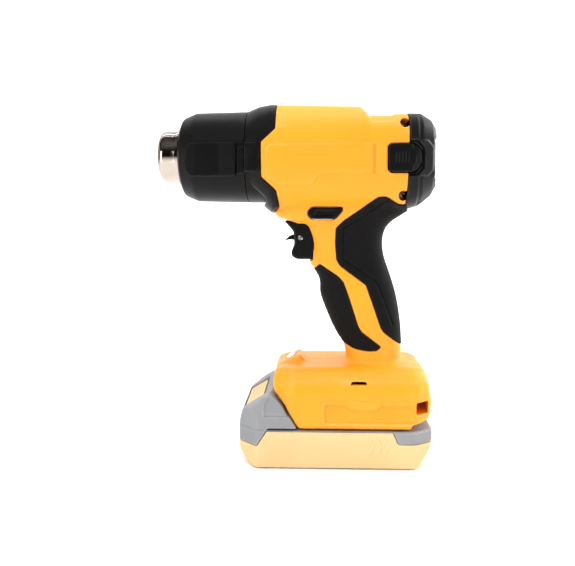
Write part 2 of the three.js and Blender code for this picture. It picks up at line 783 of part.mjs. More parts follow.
// ---- Intake cap and its latches ----
const INTAKE_Z = AXIS_Z - 2; // middle of the slots and of the screen
const CAP_RECESS = 2.1; // depth of the sunk field that the slots are in
const SLOT_PITCH = 5;
const rearCap = () => {
  const slots = [-3, -2, -1, 0, 1, 2, 3].map((row) => {
    const z = INTAKE_Z + SLOT_PITCH * row;
    const half = 17 - Math.abs(row);
    return box(HEAD_REAR_X - 9, FAR, -half, half, z - 1.3, z + 1.3);
  });
  return cut(
    capShape(0).intersect(prism(CAP_ZONE)),
    capShape(-WALL, 4),
    box(HEAD_REAR_X - CAP_RECESS, FAR, -FAR, FAR, AXIS_Z - 13, AXIS_Z + 8),
    ...slots,
    latchWindow(-1, false),
    latchWindow(1, false),
  );
};

const BAR_SPACING = 3 / 7; // of the screen's radius
const intakeScreen = () => {
  const x = HEAD_REAR_X - CAP_RECESS - WALL - 3;
  const outer = Math.min(HALF - 11, BARREL_REAR_TOP - 5.6);
  const centre = [0, 0, INTAKE_Z];
  const frame = pipe(outer - 1.5, outer, x, x + 1, "x", centre);
  const disc = rod(outer - 0.5, x - 1, x + 2, "x", centre, 24);
  const bars = [-1.5, -0.5, 0.5, 1.5].flatMap((i) => {
    const middle = i * outer * BAR_SPACING;
    const [low, high] = [middle - 0.4, middle + 0.4];
    return [
      box(x, x + 1, low, high, -FAR, FAR).intersect(disc),
      box(x, x + 1, -FAR, FAR, INTAKE_Z + low, INTAKE_Z + high).intersect(disc),
    ];
  });
  return join(frame, ...bars);
};

const latch = (side) => {
  const [inner, face] = [side * (LATCH_FACE_Y - LATCH_THICKNESS), side * LATCH_FACE_Y];
  return prism(LATCH_OUTLINE(0), Math.min(inner, face), Math.max(inner, face));
};

// ---- Trigger, lever and lock button ----
const lever = (slack) => {
  const outline = [
    [-2, 138.2],
    [1, 137],
    [3.4, 138],
    [3.4, 141.2],
    [1, 142.2],
    [-2.6, 142],
    [-6, 141],
    [-9.2, 137.6],
    [-6, 138.6],
  ];
  const half = LEVER_WIDTH / 2 + slack;
  return prism(outline, -half, half);
};
const leverPin = (slack) =>
  rod(
    LEVER_PIN_RADIUS + slack,
    -TRIGGER_WIDTH / 2 + 0.2 - slack * FAR,
    TRIGGER_WIDTH / 2 - 0.2 + slack * FAR,
    "y",
    [LEVER_PIN[0], 0, LEVER_PIN[1]],
    16,
  );
const trigger = () => {
  const half = LEVER_WIDTH / 2 + GAP;
  const body = prism(TRIGGER_OUTLINE, -TRIGGER_WIDTH / 2, TRIGGER_WIDTH / 2);
  const centre = [0, 0, PLUNGER_Z];
  const plunger = rod(PLUNGER_RADIUS, TRIGGER_BACK_X - 2, SWITCH_FRONT_X + 4, "x", centre, 16);
  return cut(join(body, plunger), box(-20, 6, -half, half, 129, 147), leverPin(GAP));
};
const SWITCH_BASE_Z = 128;
const switchModule = () => {
  const [length, width, height] = SWITCH_SIZE;
  const block = box(
    SWITCH_FRONT_X,
    SWITCH_FRONT_X + length,
    -width / 2,
    width / 2,
    SWITCH_BASE_Z,
    SWITCH_BASE_Z + height,
  );
  const bore = rod(
    PLUNGER_RADIUS + GAP,
    SWITCH_FRONT_X - 1,
    SWITCH_FRONT_X + 5 + TRIGGER_TRAVEL,
    "x",
    [0, 0, PLUNGER_Z],
    16,
  );
  return cut(block, bore);
};
const lockButton = () => {
  const half = HANDLE_HALF + 1.4;
  return prism(BUTTON_OUTLINE, -half - BUTTON_PROUD, half + BUTTON_PROUD - BUTTON_TRAVEL);
};

// ---- Lamp, board and terminals ----
const lampLens = (slack) => {
  const oval = superellipse(2, 20, (u, v) => new THREE.Vector2(u * (3.2 + slack), v * (6 + slack)));
  const depth = 3 + 2 * slack;
  const lens = new THREE.ExtrudeGeometry(new THREE.Shape(oval), { depth, bevelEnabled: false });
  lens.translate(0, 0, -2.4 - slack).rotateY(-LAMP_TILT);
  return solid(lens.translate(...LAMP_CENTRE));
};
const lampBoard = () => box(-9, 3, -7, 7, 53.5, 54.9);
const controllerBoard = () =>
  join(
    box(4, 50, -15, 15, CHANNEL_TOP_Z + WALL + GAP, CHANNEL_TOP_Z + WALL + GAP + 1.6),
    box(10, 20, -8, 8, 46.5, 51.5),
    box(26, 32, 4, 12, 46.5, 52),
    box(38, 45, -10, -2, 46.5, 50.5),
  );
const terminalBlock = () =>
  cut(
    box(
      TERMINAL.x0,
      TERMINAL.x1,
      -TERMINAL.half,
      TERMINAL.half,
      TERMINAL.z0,
      CHANNEL_TOP_Z - GAP,
    ),
    bladeBox(-1, GAP),
    bladeBox(1, GAP),
  );

// ---- Battery ----
const BATTERY_REAR_X = BATTERY_FRONT_X + BATTERY_LENGTH;
const PACK_HALF = BATTERY_WIDTH / 2;
const packBox = (grow) => {
  const level = (z, front, rear) =>
    cutCorners(
      z,
      BATTERY_FRONT_X + front - grow,
      BATTERY_REAR_X - rear + grow,
      PACK_HALF - front * 0.1 + grow,
      [13, 12.5],
      [12, 8],
    );
  return loft([
    level(-grow, 10, 12),
    level(2 - grow, 7, 9),
    level(8 - grow, 1, 4),
    level(11, 0, 2),
    level(16, 0, 0),
    level(BATTERY_HEIGHT + grow, 0, 0),
  ]);
};
const TOWER_OUTLINE = [
  [BATTERY_FRONT_X, BATTERY_HEIGHT - 4],
  [0.3, BATTERY_HEIGHT - 4],
  [0.3, BATTERY_HEIGHT + 0.2],
  [-5.4, 33.2],
  [-8.2, 38.1],
  [-13.2, 43],
  [-15.8, 43],
  [-34, 32.1],
  [BATTERY_FRONT_X, BATTERY_HEIGHT],
];
const tower = (grow) => {
  const level = (z, half) =>
    cutCorners(z, BATTERY_FRONT_X - grow, 12, half + grow, [13, 12.5], [1, 1]);
  const plan = loft([
    level(BATTERY_HEIGHT - 5, PACK_HALF - 0.8),
    level(BATTERY_HEIGHT + 4, PACK_HALF - 0.8),
    level(45, PACK_HALF - 9),
  ]);
  return prism(grown(TOWER_OUTLINE, grow)).intersect(plan);
};
const slide = (grow) =>
  box(
    -12,
    SLIDE_REAR_X + grow,
    -SLIDE_WIDTH / 2 - grow,
    SLIDE_WIDTH / 2 + grow,
    BATTERY_HEIGHT - 4,
    SLIDE_TOP_Z + grow,
  );
// Region of the cream lower shell, seen from the side.
const CREAM_ZONE = [
  [-FAR, -FAR],
  [FAR, -FAR],
  [FAR, 16],
  [61.5, 15.6],
  [57.7, BATTERY_HEIGHT + GAP],
  [-17.7, BATTERY_HEIGHT + GAP],
  [-24, 14],
  [-FAR, 12],
];
const PACK_WALL = 2.4;
const LID_X = [-21, 60]; // the upper housing closes the lower shell between these
const LID_HALF = PACK_HALF - 1.5;
const lidBox = (grow, z0, z1) =>
  box(LID_X[0] - grow, LID_X[1] + grow, -LID_HALF - grow, LID_HALF + grow, z0, z1);
const packCavity = () =>
  packBox(-PACK_WALL).intersect(box(-FAR, FAR, -FAR, FAR, 0, BATTERY_HEIGHT - 2));
const lowerPack = () =>
  cut(
    packBox(0).intersect(prism(CREAM_ZONE)),
    packCavity(),
    lidBox(GAP, BATTERY_HEIGHT - 4, BATTERY_HEIGHT + 1),
    ...cellNumbers.map((i) => cell(i, GAP)),
  );
const RELEASE_BASE_Z = BATTERY_HEIGHT + 5;
const RELEASE_OUTLINE = [
  [-33.2, RELEASE_BASE_Z],
  [-21.6, RELEASE_BASE_Z],
  [-21.6, 40.2],
  [-33.2, 33.2],
];
const RELEASE_RECESS = [
  [-34, 20],
  [-20.8, 20],
  [-20.8, 50],
  [-34, 50],
];
const releaseHalf = RELEASE_WIDTH / 2;
const upperPack = () => {
  const below = cut(
    prism(grown(CREAM_ZONE, GAP)),
    lidBox(0, BATTERY_HEIGHT - 2, BATTERY_HEIGHT + 5),
  );
  const grooves = join(railRib(1, RUN), railRib(-1, RUN));
  return cut(
    join(packBox(0), tower(0), slide(0)),
    below,
    packCavity(),
    ...cellNumbers.map((i) => cell(i, GAP)),
    slide(-PACK_WALL).intersect(box(-2, FAR, -FAR, FAR, 0, FAR)),
    grooves,
    bladeBox(-1, 1.9),
    bladeBox(1, 1.9),
    prism(grown(RELEASE_RECESS, RUN), -releaseHalf - RUN, releaseHalf + RUN).intersect(
      box(-FAR, FAR, -FAR, FAR, BATTERY_HEIGHT, FAR),
    ),
  );
};
const releaseButton = () => prism(RELEASE_OUTLINE, -releaseHalf, releaseHalf);
const RELEASE_WIRE_RADIUS = 0.35;
const releaseSpring = () => {
  const slack = RELEASE_WIRE_RADIUS + GAP;
  const length = RELEASE_BASE_Z - BATTERY_HEIGHT - 2 * slack;
  const centre = (RELEASE_OUTLINE[0][0] + RELEASE_OUTLINE[1][0]) / 2;
  return coil(3, length, 3.5, RELEASE_WIRE_RADIUS, (along, u, v) => [
    centre + u,
    v,
    BATTERY_HEIGHT + slack + along,
  ]);
};

// The cells spread over the battery's length, and never closer than their holder's webs allow.
const CELL_INSET = 21.4; // from each end of the battery to the middle of the outer cell
const CELL_PITCH = Math.max(
  2 * CELL_RADIUS + 1.2,
  (BATTERY_LENGTH - 2 * CELL_INSET) / (CELL_COUNT - 1),
);
const cellX = (i) =>
  (BATTERY_FRONT_X + BATTERY_REAR_X) / 2 + (i - (CELL_COUNT - 1) / 2) * CELL_PITCH;
const CELL_Z = PACK_WALL + GAP + CELL_RADIUS;
const cell = (i, slack) => {
  const half = CELL_LENGTH / 2 + slack;
  return rod(CELL_RADIUS + slack, -half, half, "y", [cellX(i), 0, CELL_Z], 20);
};
const cellNumbers = Array.from({ length: CELL_COUNT }, (_, i) => i);
const cellHolder = () => {
  const half = CELL_LENGTH / 2 + 1.6;
  return cut(
    box(cellX(0), cellX(CELL_COUNT - 1), -half, half, CELL_Z - 3, CELL_Z + 3),
    ...cellNumbers.map((i) => cell(i, GAP)),
  );
};
const packContact = (side) => {
  const y = (side * BLADE_SPACING) / 2;
  const slot = BLADE_THICKNESS / 2 + GAP;
  return cut(
    box(38, SLIDE_REAR_X - 3, y - 1.7, y + 1.7, 31.5, 37.5),
    box(42, FAR, y - slot, y + slot, 0, FAR),
  );
};

// ---- The gun as a scene ----
const group = new THREE.Group();
const add = (name, shape, look) => {
  const { numProp, vertProperties, triVerts } = shape.getMesh();
  const geometry = new THREE.BufferGeometry();
  geometry.setAttribute("position", new THREE.BufferAttribute(vertProperties, numProp));
  geometry.setIndex(new THREE.BufferAttribute(triVerts, 1));
  geometry.computeVertexNormals();
  const mesh = new THREE.Mesh(geometry, look);
  mesh.name = name;
  group.add(mesh);
};

add("body_left_shell", bodyShell(-1), YELLOW);
add("body_right_shell", bodyShell(1), YELLOW);
add("grip_rear_left", grip(REAR_GRIP, -1), RUBBER);
add("grip_rear_right", grip(REAR_GRIP, 1), RUBBER);
add("grip_front_left", grip(FRONT_GRIP, -1), RUBBER);
add("grip_front_right", grip(FRONT_GRIP, 1), RUBBER);
SCREWS.forEach(([name, x, z, side]) => add(name, screwShape(x, z, side, 0), STEEL));
add("shroud_collar", shroudCollar(), BLACK);
add("front_shroud", frontShroud(), BLACK);
add("nozzle", nozzle(), CHROME);
add("nozzle_seat_ring", seatRing(), STEEL);
add("heat_shield", heatShield(), STEEL);
add("mica_tube", micaTube(), MICA);
add("heater_core", heaterCore(), MICA);
add("heater_coil", heaterCoil(), HEATER_WIRE);
add("thermal_cutoff", thermalCutoff(), WHITE_PLASTIC);
add("motor", motor(), STEEL);
add("motor_mount", motorMount(), DARK_GREY);
add("motor_shaft", shaft(), STEEL);
add("fan_impeller", fan(), DARK_GREY);
add("rear_cap", rearCap(), DARK_GREY);
add("intake_screen", intakeScreen(), STEEL);
add("latch_left", latch(-1), BLACK);
add("latch_right", latch(1), BLACK);
add("trigger", trigger(), BLACK);
add("lever_pin", leverPin(0), STEEL);
add("lock_lever", cut(lever(0), leverPin(GAP)), BLACK);
add("lock_button", lockButton(), BLACK);
add("switch_module", switchModule(), BLACK);
add("battery_lead_red", lead(batteryLeadRoute(-1), LEAD_RADIUS), LEAD_RED);
add("battery_lead_black", lead(batteryLeadRoute(1), LEAD_RADIUS), LEAD_BLACK);
add("motor_lead_red", lead(motorLeadRoute(-1), LEAD_RADIUS), LEAD_RED);
add("motor_lead_black", lead(motorLeadRoute(1), LEAD_RADIUS), LEAD_BLACK);
add("lamp_lens", lampLens(0), LENS);
add("lamp_board", lampBoard(), BOARD_GREEN);
add("controller_board", controllerBoard(), BOARD_GREEN);
add("terminal_block", terminalBlock(), BLACK);
add("terminal_blade_left", bladeBox(-1, 0), BRASS);
add("terminal_blade_right", bladeBox(1, 0), BRASS);
add("battery_upper_housing", upperPack(), PACK_GREY);
add("battery_lower_housing", lowerPack(), PACK_CREAM);
add("battery_release_button", releaseButton(), PACK_CREAM);
add("battery_release_spring", releaseSpring(), STEEL);
cellNumbers.forEach((i) => add("battery_cell_" + (i + 1), cell(i, 0), CELL_BLUE));
add("battery_cell_holder", cellHolder(), DARK_GREY);
add("battery_contact_left", packContact(-1), BRASS);
add("battery_contact_right", packContact(1), BRASS);

export default group;
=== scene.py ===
import functools
import json
import math

import bpy
import numpy as np
import openvdb
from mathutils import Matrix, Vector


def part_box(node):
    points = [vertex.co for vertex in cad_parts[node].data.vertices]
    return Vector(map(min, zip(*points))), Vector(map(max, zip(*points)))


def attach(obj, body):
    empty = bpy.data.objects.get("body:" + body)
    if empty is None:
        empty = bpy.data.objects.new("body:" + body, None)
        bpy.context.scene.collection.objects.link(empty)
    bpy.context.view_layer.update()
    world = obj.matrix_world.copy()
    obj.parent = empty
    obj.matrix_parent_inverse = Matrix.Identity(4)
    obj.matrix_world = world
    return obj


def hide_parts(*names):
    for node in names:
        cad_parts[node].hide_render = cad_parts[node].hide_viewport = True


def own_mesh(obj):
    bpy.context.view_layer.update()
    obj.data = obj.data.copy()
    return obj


bl_info = {
    "name": "Cordless heat gun",
    "version": (1, 0, 0),
    "blender": (4, 5, 0),
    "location": "View3D > Sidebar > Heat gun",
    "description": "Builds the mouldings, grips, nozzle, battery and finishes of a cordless heat gun",
    "category": "Object",
}

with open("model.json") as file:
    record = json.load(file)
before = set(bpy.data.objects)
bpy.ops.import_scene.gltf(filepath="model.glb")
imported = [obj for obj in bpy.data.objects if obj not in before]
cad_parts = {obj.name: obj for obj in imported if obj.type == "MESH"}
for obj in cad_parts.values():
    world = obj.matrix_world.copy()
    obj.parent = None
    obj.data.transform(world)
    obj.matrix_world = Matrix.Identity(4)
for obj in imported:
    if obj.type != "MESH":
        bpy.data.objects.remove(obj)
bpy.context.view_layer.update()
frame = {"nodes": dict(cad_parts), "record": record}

MM = 0.001
FAR = 200.0
GAP = 0.3  # between pieces fixed to each other, mm
RUN = 0.5  # between pieces that move past each other, mm
WALL = 3.0  # thickness of the casing and of the intake cap, mm
BAND = 4.0  # distance from a skin beyond which a field is no longer needed, mm


def centre_of(node):
    """The middle of a frame node, in mm."""
    low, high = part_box(node)
    return (low + high) / 2 / MM


def reach_of(node):
    """The lowest and highest corners of a frame node, in mm."""
    low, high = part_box(node)
    return low / MM, high / MM


AXIS_Z = centre_of("motor_shaft").z
PIN_HOLE = 1.6  # radius in the trigger and in the lever


# ---- Fields: a moulding is worked out as the distance from each point of a block to its skin ----
class Block:
    """A box of space in mm, cut into cells, that one moulding is worked out in."""

    def __init__(self, low, high, cell):
        counts = [int(math.ceil((b - a) / cell)) + 1 for a, b in zip(low, high)]
        x, y, z = (a + cell * np.arange(n) for a, n in zip(low, counts))
        self.low, self.cell, self.counts = np.array(low, float), cell, counts
        self.x = x.astype(np.float32)[:, None, None]
        self.y = y.astype(np.float32)[None, :, None]
        self.z = z.astype(np.float32)[None, None, :]

    @classmethod
    def round(cls, node, cell, room=1.5):
        """The block that holds a node with room on every side."""
        low, high = reach_of(node)
        return cls([a - room for a in low], [a + room for a in high], cell)

    def full(self, field):
        """A field over the whole block."""
        return np.array(np.broadcast_to(field, self.counts), np.float32, order="C")


def meet(a, b, edge=0.0):
    """What two fields share, with its new edge rounded to a radius."""
    if not edge:
        return np.maximum(a, b)
    corner = np.sqrt(np.maximum(a + edge, 0) ** 2 + np.maximum(b + edge, 0) ** 2)
    return np.minimum(np.maximum(a, b), -edge) + corner


def merge(a, b, edge=0.0):
    """Both fields together, with the inner corner between them filled to a radius."""
    return -meet(-a, -b, edge)


def carve(a, b, edge=0.0):
    """The first field without the second."""
    return meet(a, -b, edge)


def soften(points, radius, steps=4):
    """An outline whose corners are rounded by short curves."""
    made = []
    for i, corner in enumerate(points):
        here = np.array(corner, float)
        ends = []
        for other in (points[i - 1], points[(i + 1) % len(points)]):
            way = np.array(other, float) - here
            length = np.hypot(*way)
            ends.append(here + way / length * min(radius, 0.45 * length))
        for t in np.linspace(0, 1, steps + 1):
            made.append((1 - t) ** 2 * ends[0] + 2 * t * (1 - t) * here + t * t * ends[1])
    return made


def outline(points, u, v, radius=0.0):
    """Distance to a closed outline in the plane of u and v, negative inside it."""
    if radius:
        points = soften(points, radius)
    nearest, inside = np.float32(1e9), False
    for i, (u1, v1) in enumerate(points):
        u0, v0 = points[i - 1]
        du, dv = u1 - u0, v1 - v0
        t = np.clip(((u - u0) * du + (v - v0) * dv) / (du * du + dv * dv + 1e-12), 0, 1)
        nearest = np.minimum(nearest, (u - u0 - t * du) ** 2 + (v - v0 - t * dv) ** 2)
        crossing = u0 + (v - v0) * (du / dv if dv else 0.0)
        inside = inside ^ (((v0 > v) != (v1 > v)) & (u < crossing))
    return (np.sqrt(nearest) * np.where(inside, -1, 1)).astype(np.float32)


def corners_of(x, z):
    """The corners of an upright rectangle; x and z are its (low, high) pairs."""
    return [(x[0], z[0]), (x[1], z[0]), (x[1], z[1]), (x[0], z[1])]


def slab(t, low, high):
    """Distance to what lies between two planes."""
    return np.maximum(low - t, t - high)


def brick(b, x, y, z, edge=0.0):
    """A box with rounded edges; x, y and z are its (low, high) pairs."""
    return meet(meet(slab(b.x, *x), slab(b.y, *y), edge), slab(b.z, *z), edge)


def along(t, stations, ease=0.0):
    """The columns of a table of stations, read at t, with its corners eased over a length."""
    table = np.array(stations, float)
    shifts = np.linspace(-ease, ease, 5) if ease else [0.0]
    return [
        sum(np.interp(t + s, table[:, 0], column) for s in shifts).astype(np.float32) / len(shifts)
        for column in table.T[1:]
    ]


def oval(u, v, half_u, half_v, power):
    """Distance to a rounded section whose corners fill out as power grows."""
    share = (np.abs(u) / half_u) ** power + (np.abs(v) / half_v) ** power
    share = np.maximum(share ** (1 / power), 0.05)
    reach = np.sqrt(u * u + v * v + 0.01)
    return reach - reach / share


def inside_of(side, ramp):
    """1 inside an outline and 0 outside it, rising over the width of a ramp."""
    t = np.clip(0.5 - side / ramp, 0, 1)
    return t * t * (3 - 2 * t)


def rod_along_y(b, x, z, radius):
    return np.sqrt((b.x - x) ** 2 + (b.z - z) ** 2) - radius


def rod_along_x(b, radius, y=0.0, z=None):
    return np.sqrt((b.y - y) ** 2 + (b.z - (AXIS_Z if z is None else z)) ** 2) - radius


# ---- Meshes ----
def sampled(grid, places):
    """A grid read between its cells; places are in cells."""
    top = np.array(grid.shape[:3]) - 2
    whole = np.clip(np.floor(places).astype(int), 0, top)
    part = np.clip(places - whole, 0, 1)[:, :, None]
    i, j, k = whole.T
    total = 0
    for a in (0, 1):
        for c in (0, 1):
            for e in (0, 1):
                share = (
                    (part[:, 0] if a else 1 - part[:, 0])
                    * (part[:, 1] if c else 1 - part[:, 1])
                    * (part[:, 2] if e else 1 - part[:, 2])
                )
                total = total + share * grid[i + a, j + c, k + e]
    return total


def mesh_of(name, points, faces):
    mesh = bpy.data.meshes.new(name)
    mesh.from_pydata(points, [], faces)
    mesh.update()
    return mesh


def fill_mesh(name, points, faces):
    """A mesh from arrays, in metres."""
    size = faces.shape[1]
    mesh = bpy.data.meshes.new(name)
    mesh.vertices.add(len(points))
    mesh.vertices.foreach_set("co", (points * MM).astype(np.float32).ravel())
    mesh.loops.add(faces.size)
    mesh.loops.foreach_set("vertex_index", faces.astype(np.int32).ravel())
    mesh.polygons.add(len(faces))
    mesh.polygons.foreach_set("loop_start", np.arange(0, faces.size, size, dtype=np.int32))
    mesh.update(calc_edges=True)
    return mesh


def thinned(mesh, most):
    """The mesh with at most that many triangles, merged where it is flattest."""
    if len(mesh.polygons) <= most:
        return mesh
    holder = bpy.data.objects.new("thinning", mesh)
    bpy.context.scene.collection.objects.link(holder)
    holder.modifiers.new("thin", "DECIMATE").ratio = most / len(mesh.polygons)
    graph = bpy.context.evaluated_depsgraph_get()
    done = bpy.data.meshes.new_from_object(holder.evaluated_get(graph))
    bpy.data.objects.remove(holder)
    bpy.data.meshes.remove(mesh)
    return done


def moulded(name, b, field, most, mirror=False):
    """The skin of a field as a mesh with the field's own smooth normals and a worn-edge value."""
    field = b.full(np.clip(field, -BAND, BAND))
    grid = openvdb.FloatGrid(BAND)
    grid.copyFromArray(field)
    points, quads = grid.convertToQuads(isovalue=0.0)
    triangles = np.concatenate([quads[:, [0, 1, 2]], quads[:, [0, 2, 3]]])
    mesh = thinned(fill_mesh(name + "_raw", b.low + points * b.cell, triangles), most)
    places = np.empty(3 * len(mesh.vertices), np.float32)
    mesh.vertices.foreach_get("co", places)
    places = (places.reshape(-1, 3) / MM - b.low) / b.cell
    corners = np.empty(len(mesh.loops), np.int32)
    mesh.loops.foreach_get("vertex_index", corners)
    faces = corners.reshape(-1, 3)
    bpy.data.meshes.remove(mesh)

    slope = np.stack(np.gradient(field), axis=-1)
    at = places[faces]
    middle = at.mean(axis=1, keepdims=True)
    way = middle - at
    length = np.linalg.norm(way, axis=2, keepdims=True) + 1e-9
    inner = at + way * np.minimum(0.6, 0.9 / length)
    normals = sampled(slope, inner.reshape(-1, 3))
    normals /= np.linalg.norm(normals, axis=1, keepdims=True) + 1e-9
    bend = np.zeros_like(field)
    bend[1:-1, 1:-1, 1:-1] = (
        field[2:, 1:-1, 1:-1] + field[:-2, 1:-1, 1:-1] + field[1:-1, 2:, 1:-1]
        + field[1:-1, :-2, 1:-1] + field[1:-1, 1:-1, 2:] + field[1:-1, 1:-1, :-2]
        - 6 * field[1:-1, 1:-1, 1:-1]
    ) / b.cell**2
    edges = sampled(bend[..., None], places)[:, 0]

    points = b.low + places * b.cell
    if mirror:
        points[:, 1] *= -1
        normals[:, 1] *= -1
    a, c, e = (points[faces[:, i]] for i in range(3))
    if np.einsum("ij,ij->", np.cross(a, c), e) < 0:
        faces = faces[:, ::-1]
        normals = normals.reshape(-1, 3, 3)[:, ::-1].reshape(-1, 3)
    made = fill_mesh(name, points, faces)
    made.polygons.foreach_set("use_smooth", np.ones(len(faces), bool))
    # positive on outer edges, where the finishes paint wear; negative in inner corners, where they paint
    # shade
    worn = made.attributes.new("worn_edge", "FLOAT", "POINT")
    worn.data.foreach_set("value", np.clip(edges, -1.5, 1.5).astype(np.float32))
    made.normals_split_custom_set(normals)
    return made


def lathed(name, profile, centre, axis, steps=96, crease=35):
    """A mesh turned from [radius, along] points in mm, closed where the radius is nought."""
    ring, turned, count = [], [], len(profile)
    for radius, height in profile:
        ring.append(len(turned))
        if radius < 1e-6:
            turned.append((0.0, 0.0, height))
            continue
        for i in range(steps):
            angle = 2 * math.pi * i / steps
            turned.append((radius * math.cos(angle), radius * math.sin(angle), height))
    faces = []
    closed = profile[0][0] > 0 and profile[-1][0] > 0
    for n in range(count if closed else count - 1):
        p, q = n, (n + 1) % count
        for i in range(steps):
            j = (i + 1) % steps
            first = [ring[p] + i, ring[p] + j] if profile[p][0] > 0 else [ring[p]]
            last = [ring[q] + j, ring[q] + i] if profile[q][0] > 0 else [ring[q]]
            faces.append(first + last)
    order = {"x": (2, 0, 1), "y": (1, 2, 0), "z": (0, 1, 2)}[axis]
    points = [tuple((p[order[k]] + centre[k]) * MM for k in range(3)) for p in turned]
    mesh = mesh_of(name, points, faces)
    volume = sum(
        mesh.vertices[f.vertices[0]].co.cross(mesh.vertices[f.vertices[i]].co).dot(
            mesh.vertices[f.vertices[i + 1]].co
        )
        for f in mesh.polygons
        for i in range(1, len(f.vertices) - 1)
    )
    if volume < 0:
        mesh.flip_normals()
    mesh.shade_smooth()
    mesh.set_sharp_from_angle(angle=math.radians(crease))
    return mesh


# ---- The body's shape, in mm ----
BARREL = [  # x, height above the axis, depth below it, half width, power
    (-40, 29.6, 29.6, 29.6, 2.0),
    (-28, 29.9, 30.0, 30.0, 2.0),
    (-21, 33.0, 32.0, 31.8, 2.4),
    (-13, 33.0, 34.6, 32.0, 2.6),
    (39.5, 31.6, 34.7, 32.0, 2.8),
    (44.5, 26.6, 34.7, 31.6, 3.0),
    (72, 26.6, 34.7, 31.0, 3.0),
    (80, 26.6, 34.7, 31.0, 3.0),
]
COLLAR = [
    (-40, 29.6, 29.6, 29.6, 2.0),
    (-31.5, 29.8, 29.8, 29.8, 2.0),
    (-24.8, 32.2, 32.2, 31.4, 2.3),
    (-17.5, 33.2, 36.2, 32.2, 2.6),
    (-15.5, 33.2, 37.4, 32.2, 2.6),
    (-9, 33.2, 37.4, 32.2, 2.6),
]
CAP = [
    (60, 27.0, 35.0, 31.3, 3.0),
    (66, 27.0, 35.0, 31.3, 3.0),
    (76.8, 26.8, 31.6, 30.4, 3.0),
    (83.6, 22.6, 26.0, 26.4, 3.0),
    (86, 18.6, 21.8, 23.5, 3.0),
    (95, 18.6, 21.8, 23.5, 3.0),
]
HANDLE = [  # z, front x, back x, half width
    (50, 33, 68, 20), (57, 32, 68, 19.5), (62, 31.5, 67.5, 18), (71, 29.8, 67, 17),
    (83, 23, 66.4, 17), (95.5, 17.8, 64.7, 17.5), (104, 14.7, 63, 17.2), (112, 15.1, 60.6, 17),
    (118, 12.4, 58.6, 16.5), (122, 7.5, 57.2, 16), (127.7, 7, 55.2, 15.7), (136, 8.2, 53.9, 15.5),
    (144, 6.3, 55, 16.2), (150, 3, 58.5, 17.3), (157, -2, 71, 18.5), (167, -4, 69, 19),
]
HOUSING = [(149.6, -2, 56, 14.5), (152, -12, 58, 17), (156, -15.8, 62, 18.5), (167, -15.5, 66, 20)]
COLLAR_EDGE = [
    (-45, 140), (-22, 150), (-16.2, 155.8), (-11.8, 159.9), (-13.2, 169.4),
    (-22, 177.7), (-22, 198.7), (-13.3, 207), (-13, 240), (-45, 240),
]
COLLAR_BLOCK = [(-40, 180.6), (-24.2, 180.6), (-22.6, 182.4), (-22.6, 196.8), (-24.2, 198.4), (-40, 198.4)]
CAP_EDGE = [(67, 160.5), (72, 156), (FAR, 140), (FAR, 240), (69.3, 240)]
FOOT_SIDE = [
    (1, 24.3), (70, 24.3), (70.3, 27.5), (80.3, 29), (82, 32.5), (83, 40), (82.3, 46.5),
    (81.3, 54), (79, 58.4), (70, 60), (2.3, 60), (-9.3, 59.1), (-14, 57), (-15.5, 49.5),
    (-14.4, 45), (-7.5, 38.5), (-4.7, 33.5),
]
FOOT_FRONT = [(-36.9, 10), (36.9, 10), (36.9, 24), (36.1, 46), (33.4, 52), (28.4, 57), (23.4, 61.5),
              (-23.4, 61.5), (-28.4, 57), (-33.4, 52), (-36.1, 46), (-36.9, 24)]
REAR_GRIP = [
    (67, 70.1), (90, 68), (90, 161), (69, 161), (62.5, 161.4), (55.1, 165.8), (50, 165.8),
    (28.9, 151.1), (24, 146.4), (23.6, 136.9), (24.5, 125.9), (26.7, 122.3), (43, 110.2),
    (52.5, 82.9), (54.4, 80),
]
FRONT_GRIP = [
    (30.4, 71.7), (36.2, 69.2), (45, 68.1), (50.4, 68.5), (53, 71), (40.6, 80.5), (38.4, 84.2),
    (33.3, 100.3), (29.2, 112), (26, 115.6), (13.9, 123.6), (11, 120.3), (0, 118), (0, 72),
]
REAR_GRIP_LINE = [
    (55.2, 163.5), (28.9, 146), (28.5, 126.7), (36.2, 121.6), (49.3, 112.8), (51.5, 109.2), (60.6, 84.4),
]
BUTTON = [(9.2, 151.9), (23, 151.9), (28, 157.2), (28, 159.3), (9.2, 159.3), (6.7, 156.9), (6.7, 154.3)]
LAMP_SIDE = [(-13, 55), (9, 55), (0.8, 64.6), (-9.3, 59.1)]
LAMP_CENTRE = (-4.8, 0.0, 61.6)
LAMP_TILT = math.atan2(5.2, 9.3)
SCREWS = {  # x, z, the side that the head is on
    "body_screw_rear_top": (65.6, 210.4, -1),
    "body_screw_rear_bottom": (65.0, 166.4, -1),
    "body_screw_barrel_top": (3.0, 217.4, 1),
    "body_screw_barrel_bottom": (4.5, 163.4, 1),
    "body_screw_handle": (36.0, 100.0, 1),
    "body_screw_foot": (73.0, 50.0, 1),
}
SCREW_HOLE, SCREW_WELL, SCREW_BOSS = 1.6, 3.0, 4.0  # radii in the casing
SCREW_SEAT = 11.7  # from the casing's middle to where a well begins
LATCH_FACE = reach_of("latch_right")[1].y
LATCH_WELL = LATCH_FACE - 5  # from the middle to the floor of a latch's window


def latch_outline(grow=0.0):
    low, high = reach_of("latch_left")
    x0, x1, z0, z1 = low.x - grow, high.x - 0.8 + grow, low.z - grow, high.z + grow
    return [(x0, z0), (x1 - 4, z0), (x1, z0 + 4.5), (x1, z1 - 4.5), (x1 - 4, z1), (x0, z1)]


def tube(b, sections, inward=0.0):
    """A family of upright sections along the barrel, endless at both ends."""
    above, below, half, power = along(b.x, sections)
    v = b.z - AXIS_Z
    return oval(b.y, v, half - inward, np.where(v > 0, above, below) - inward, power)


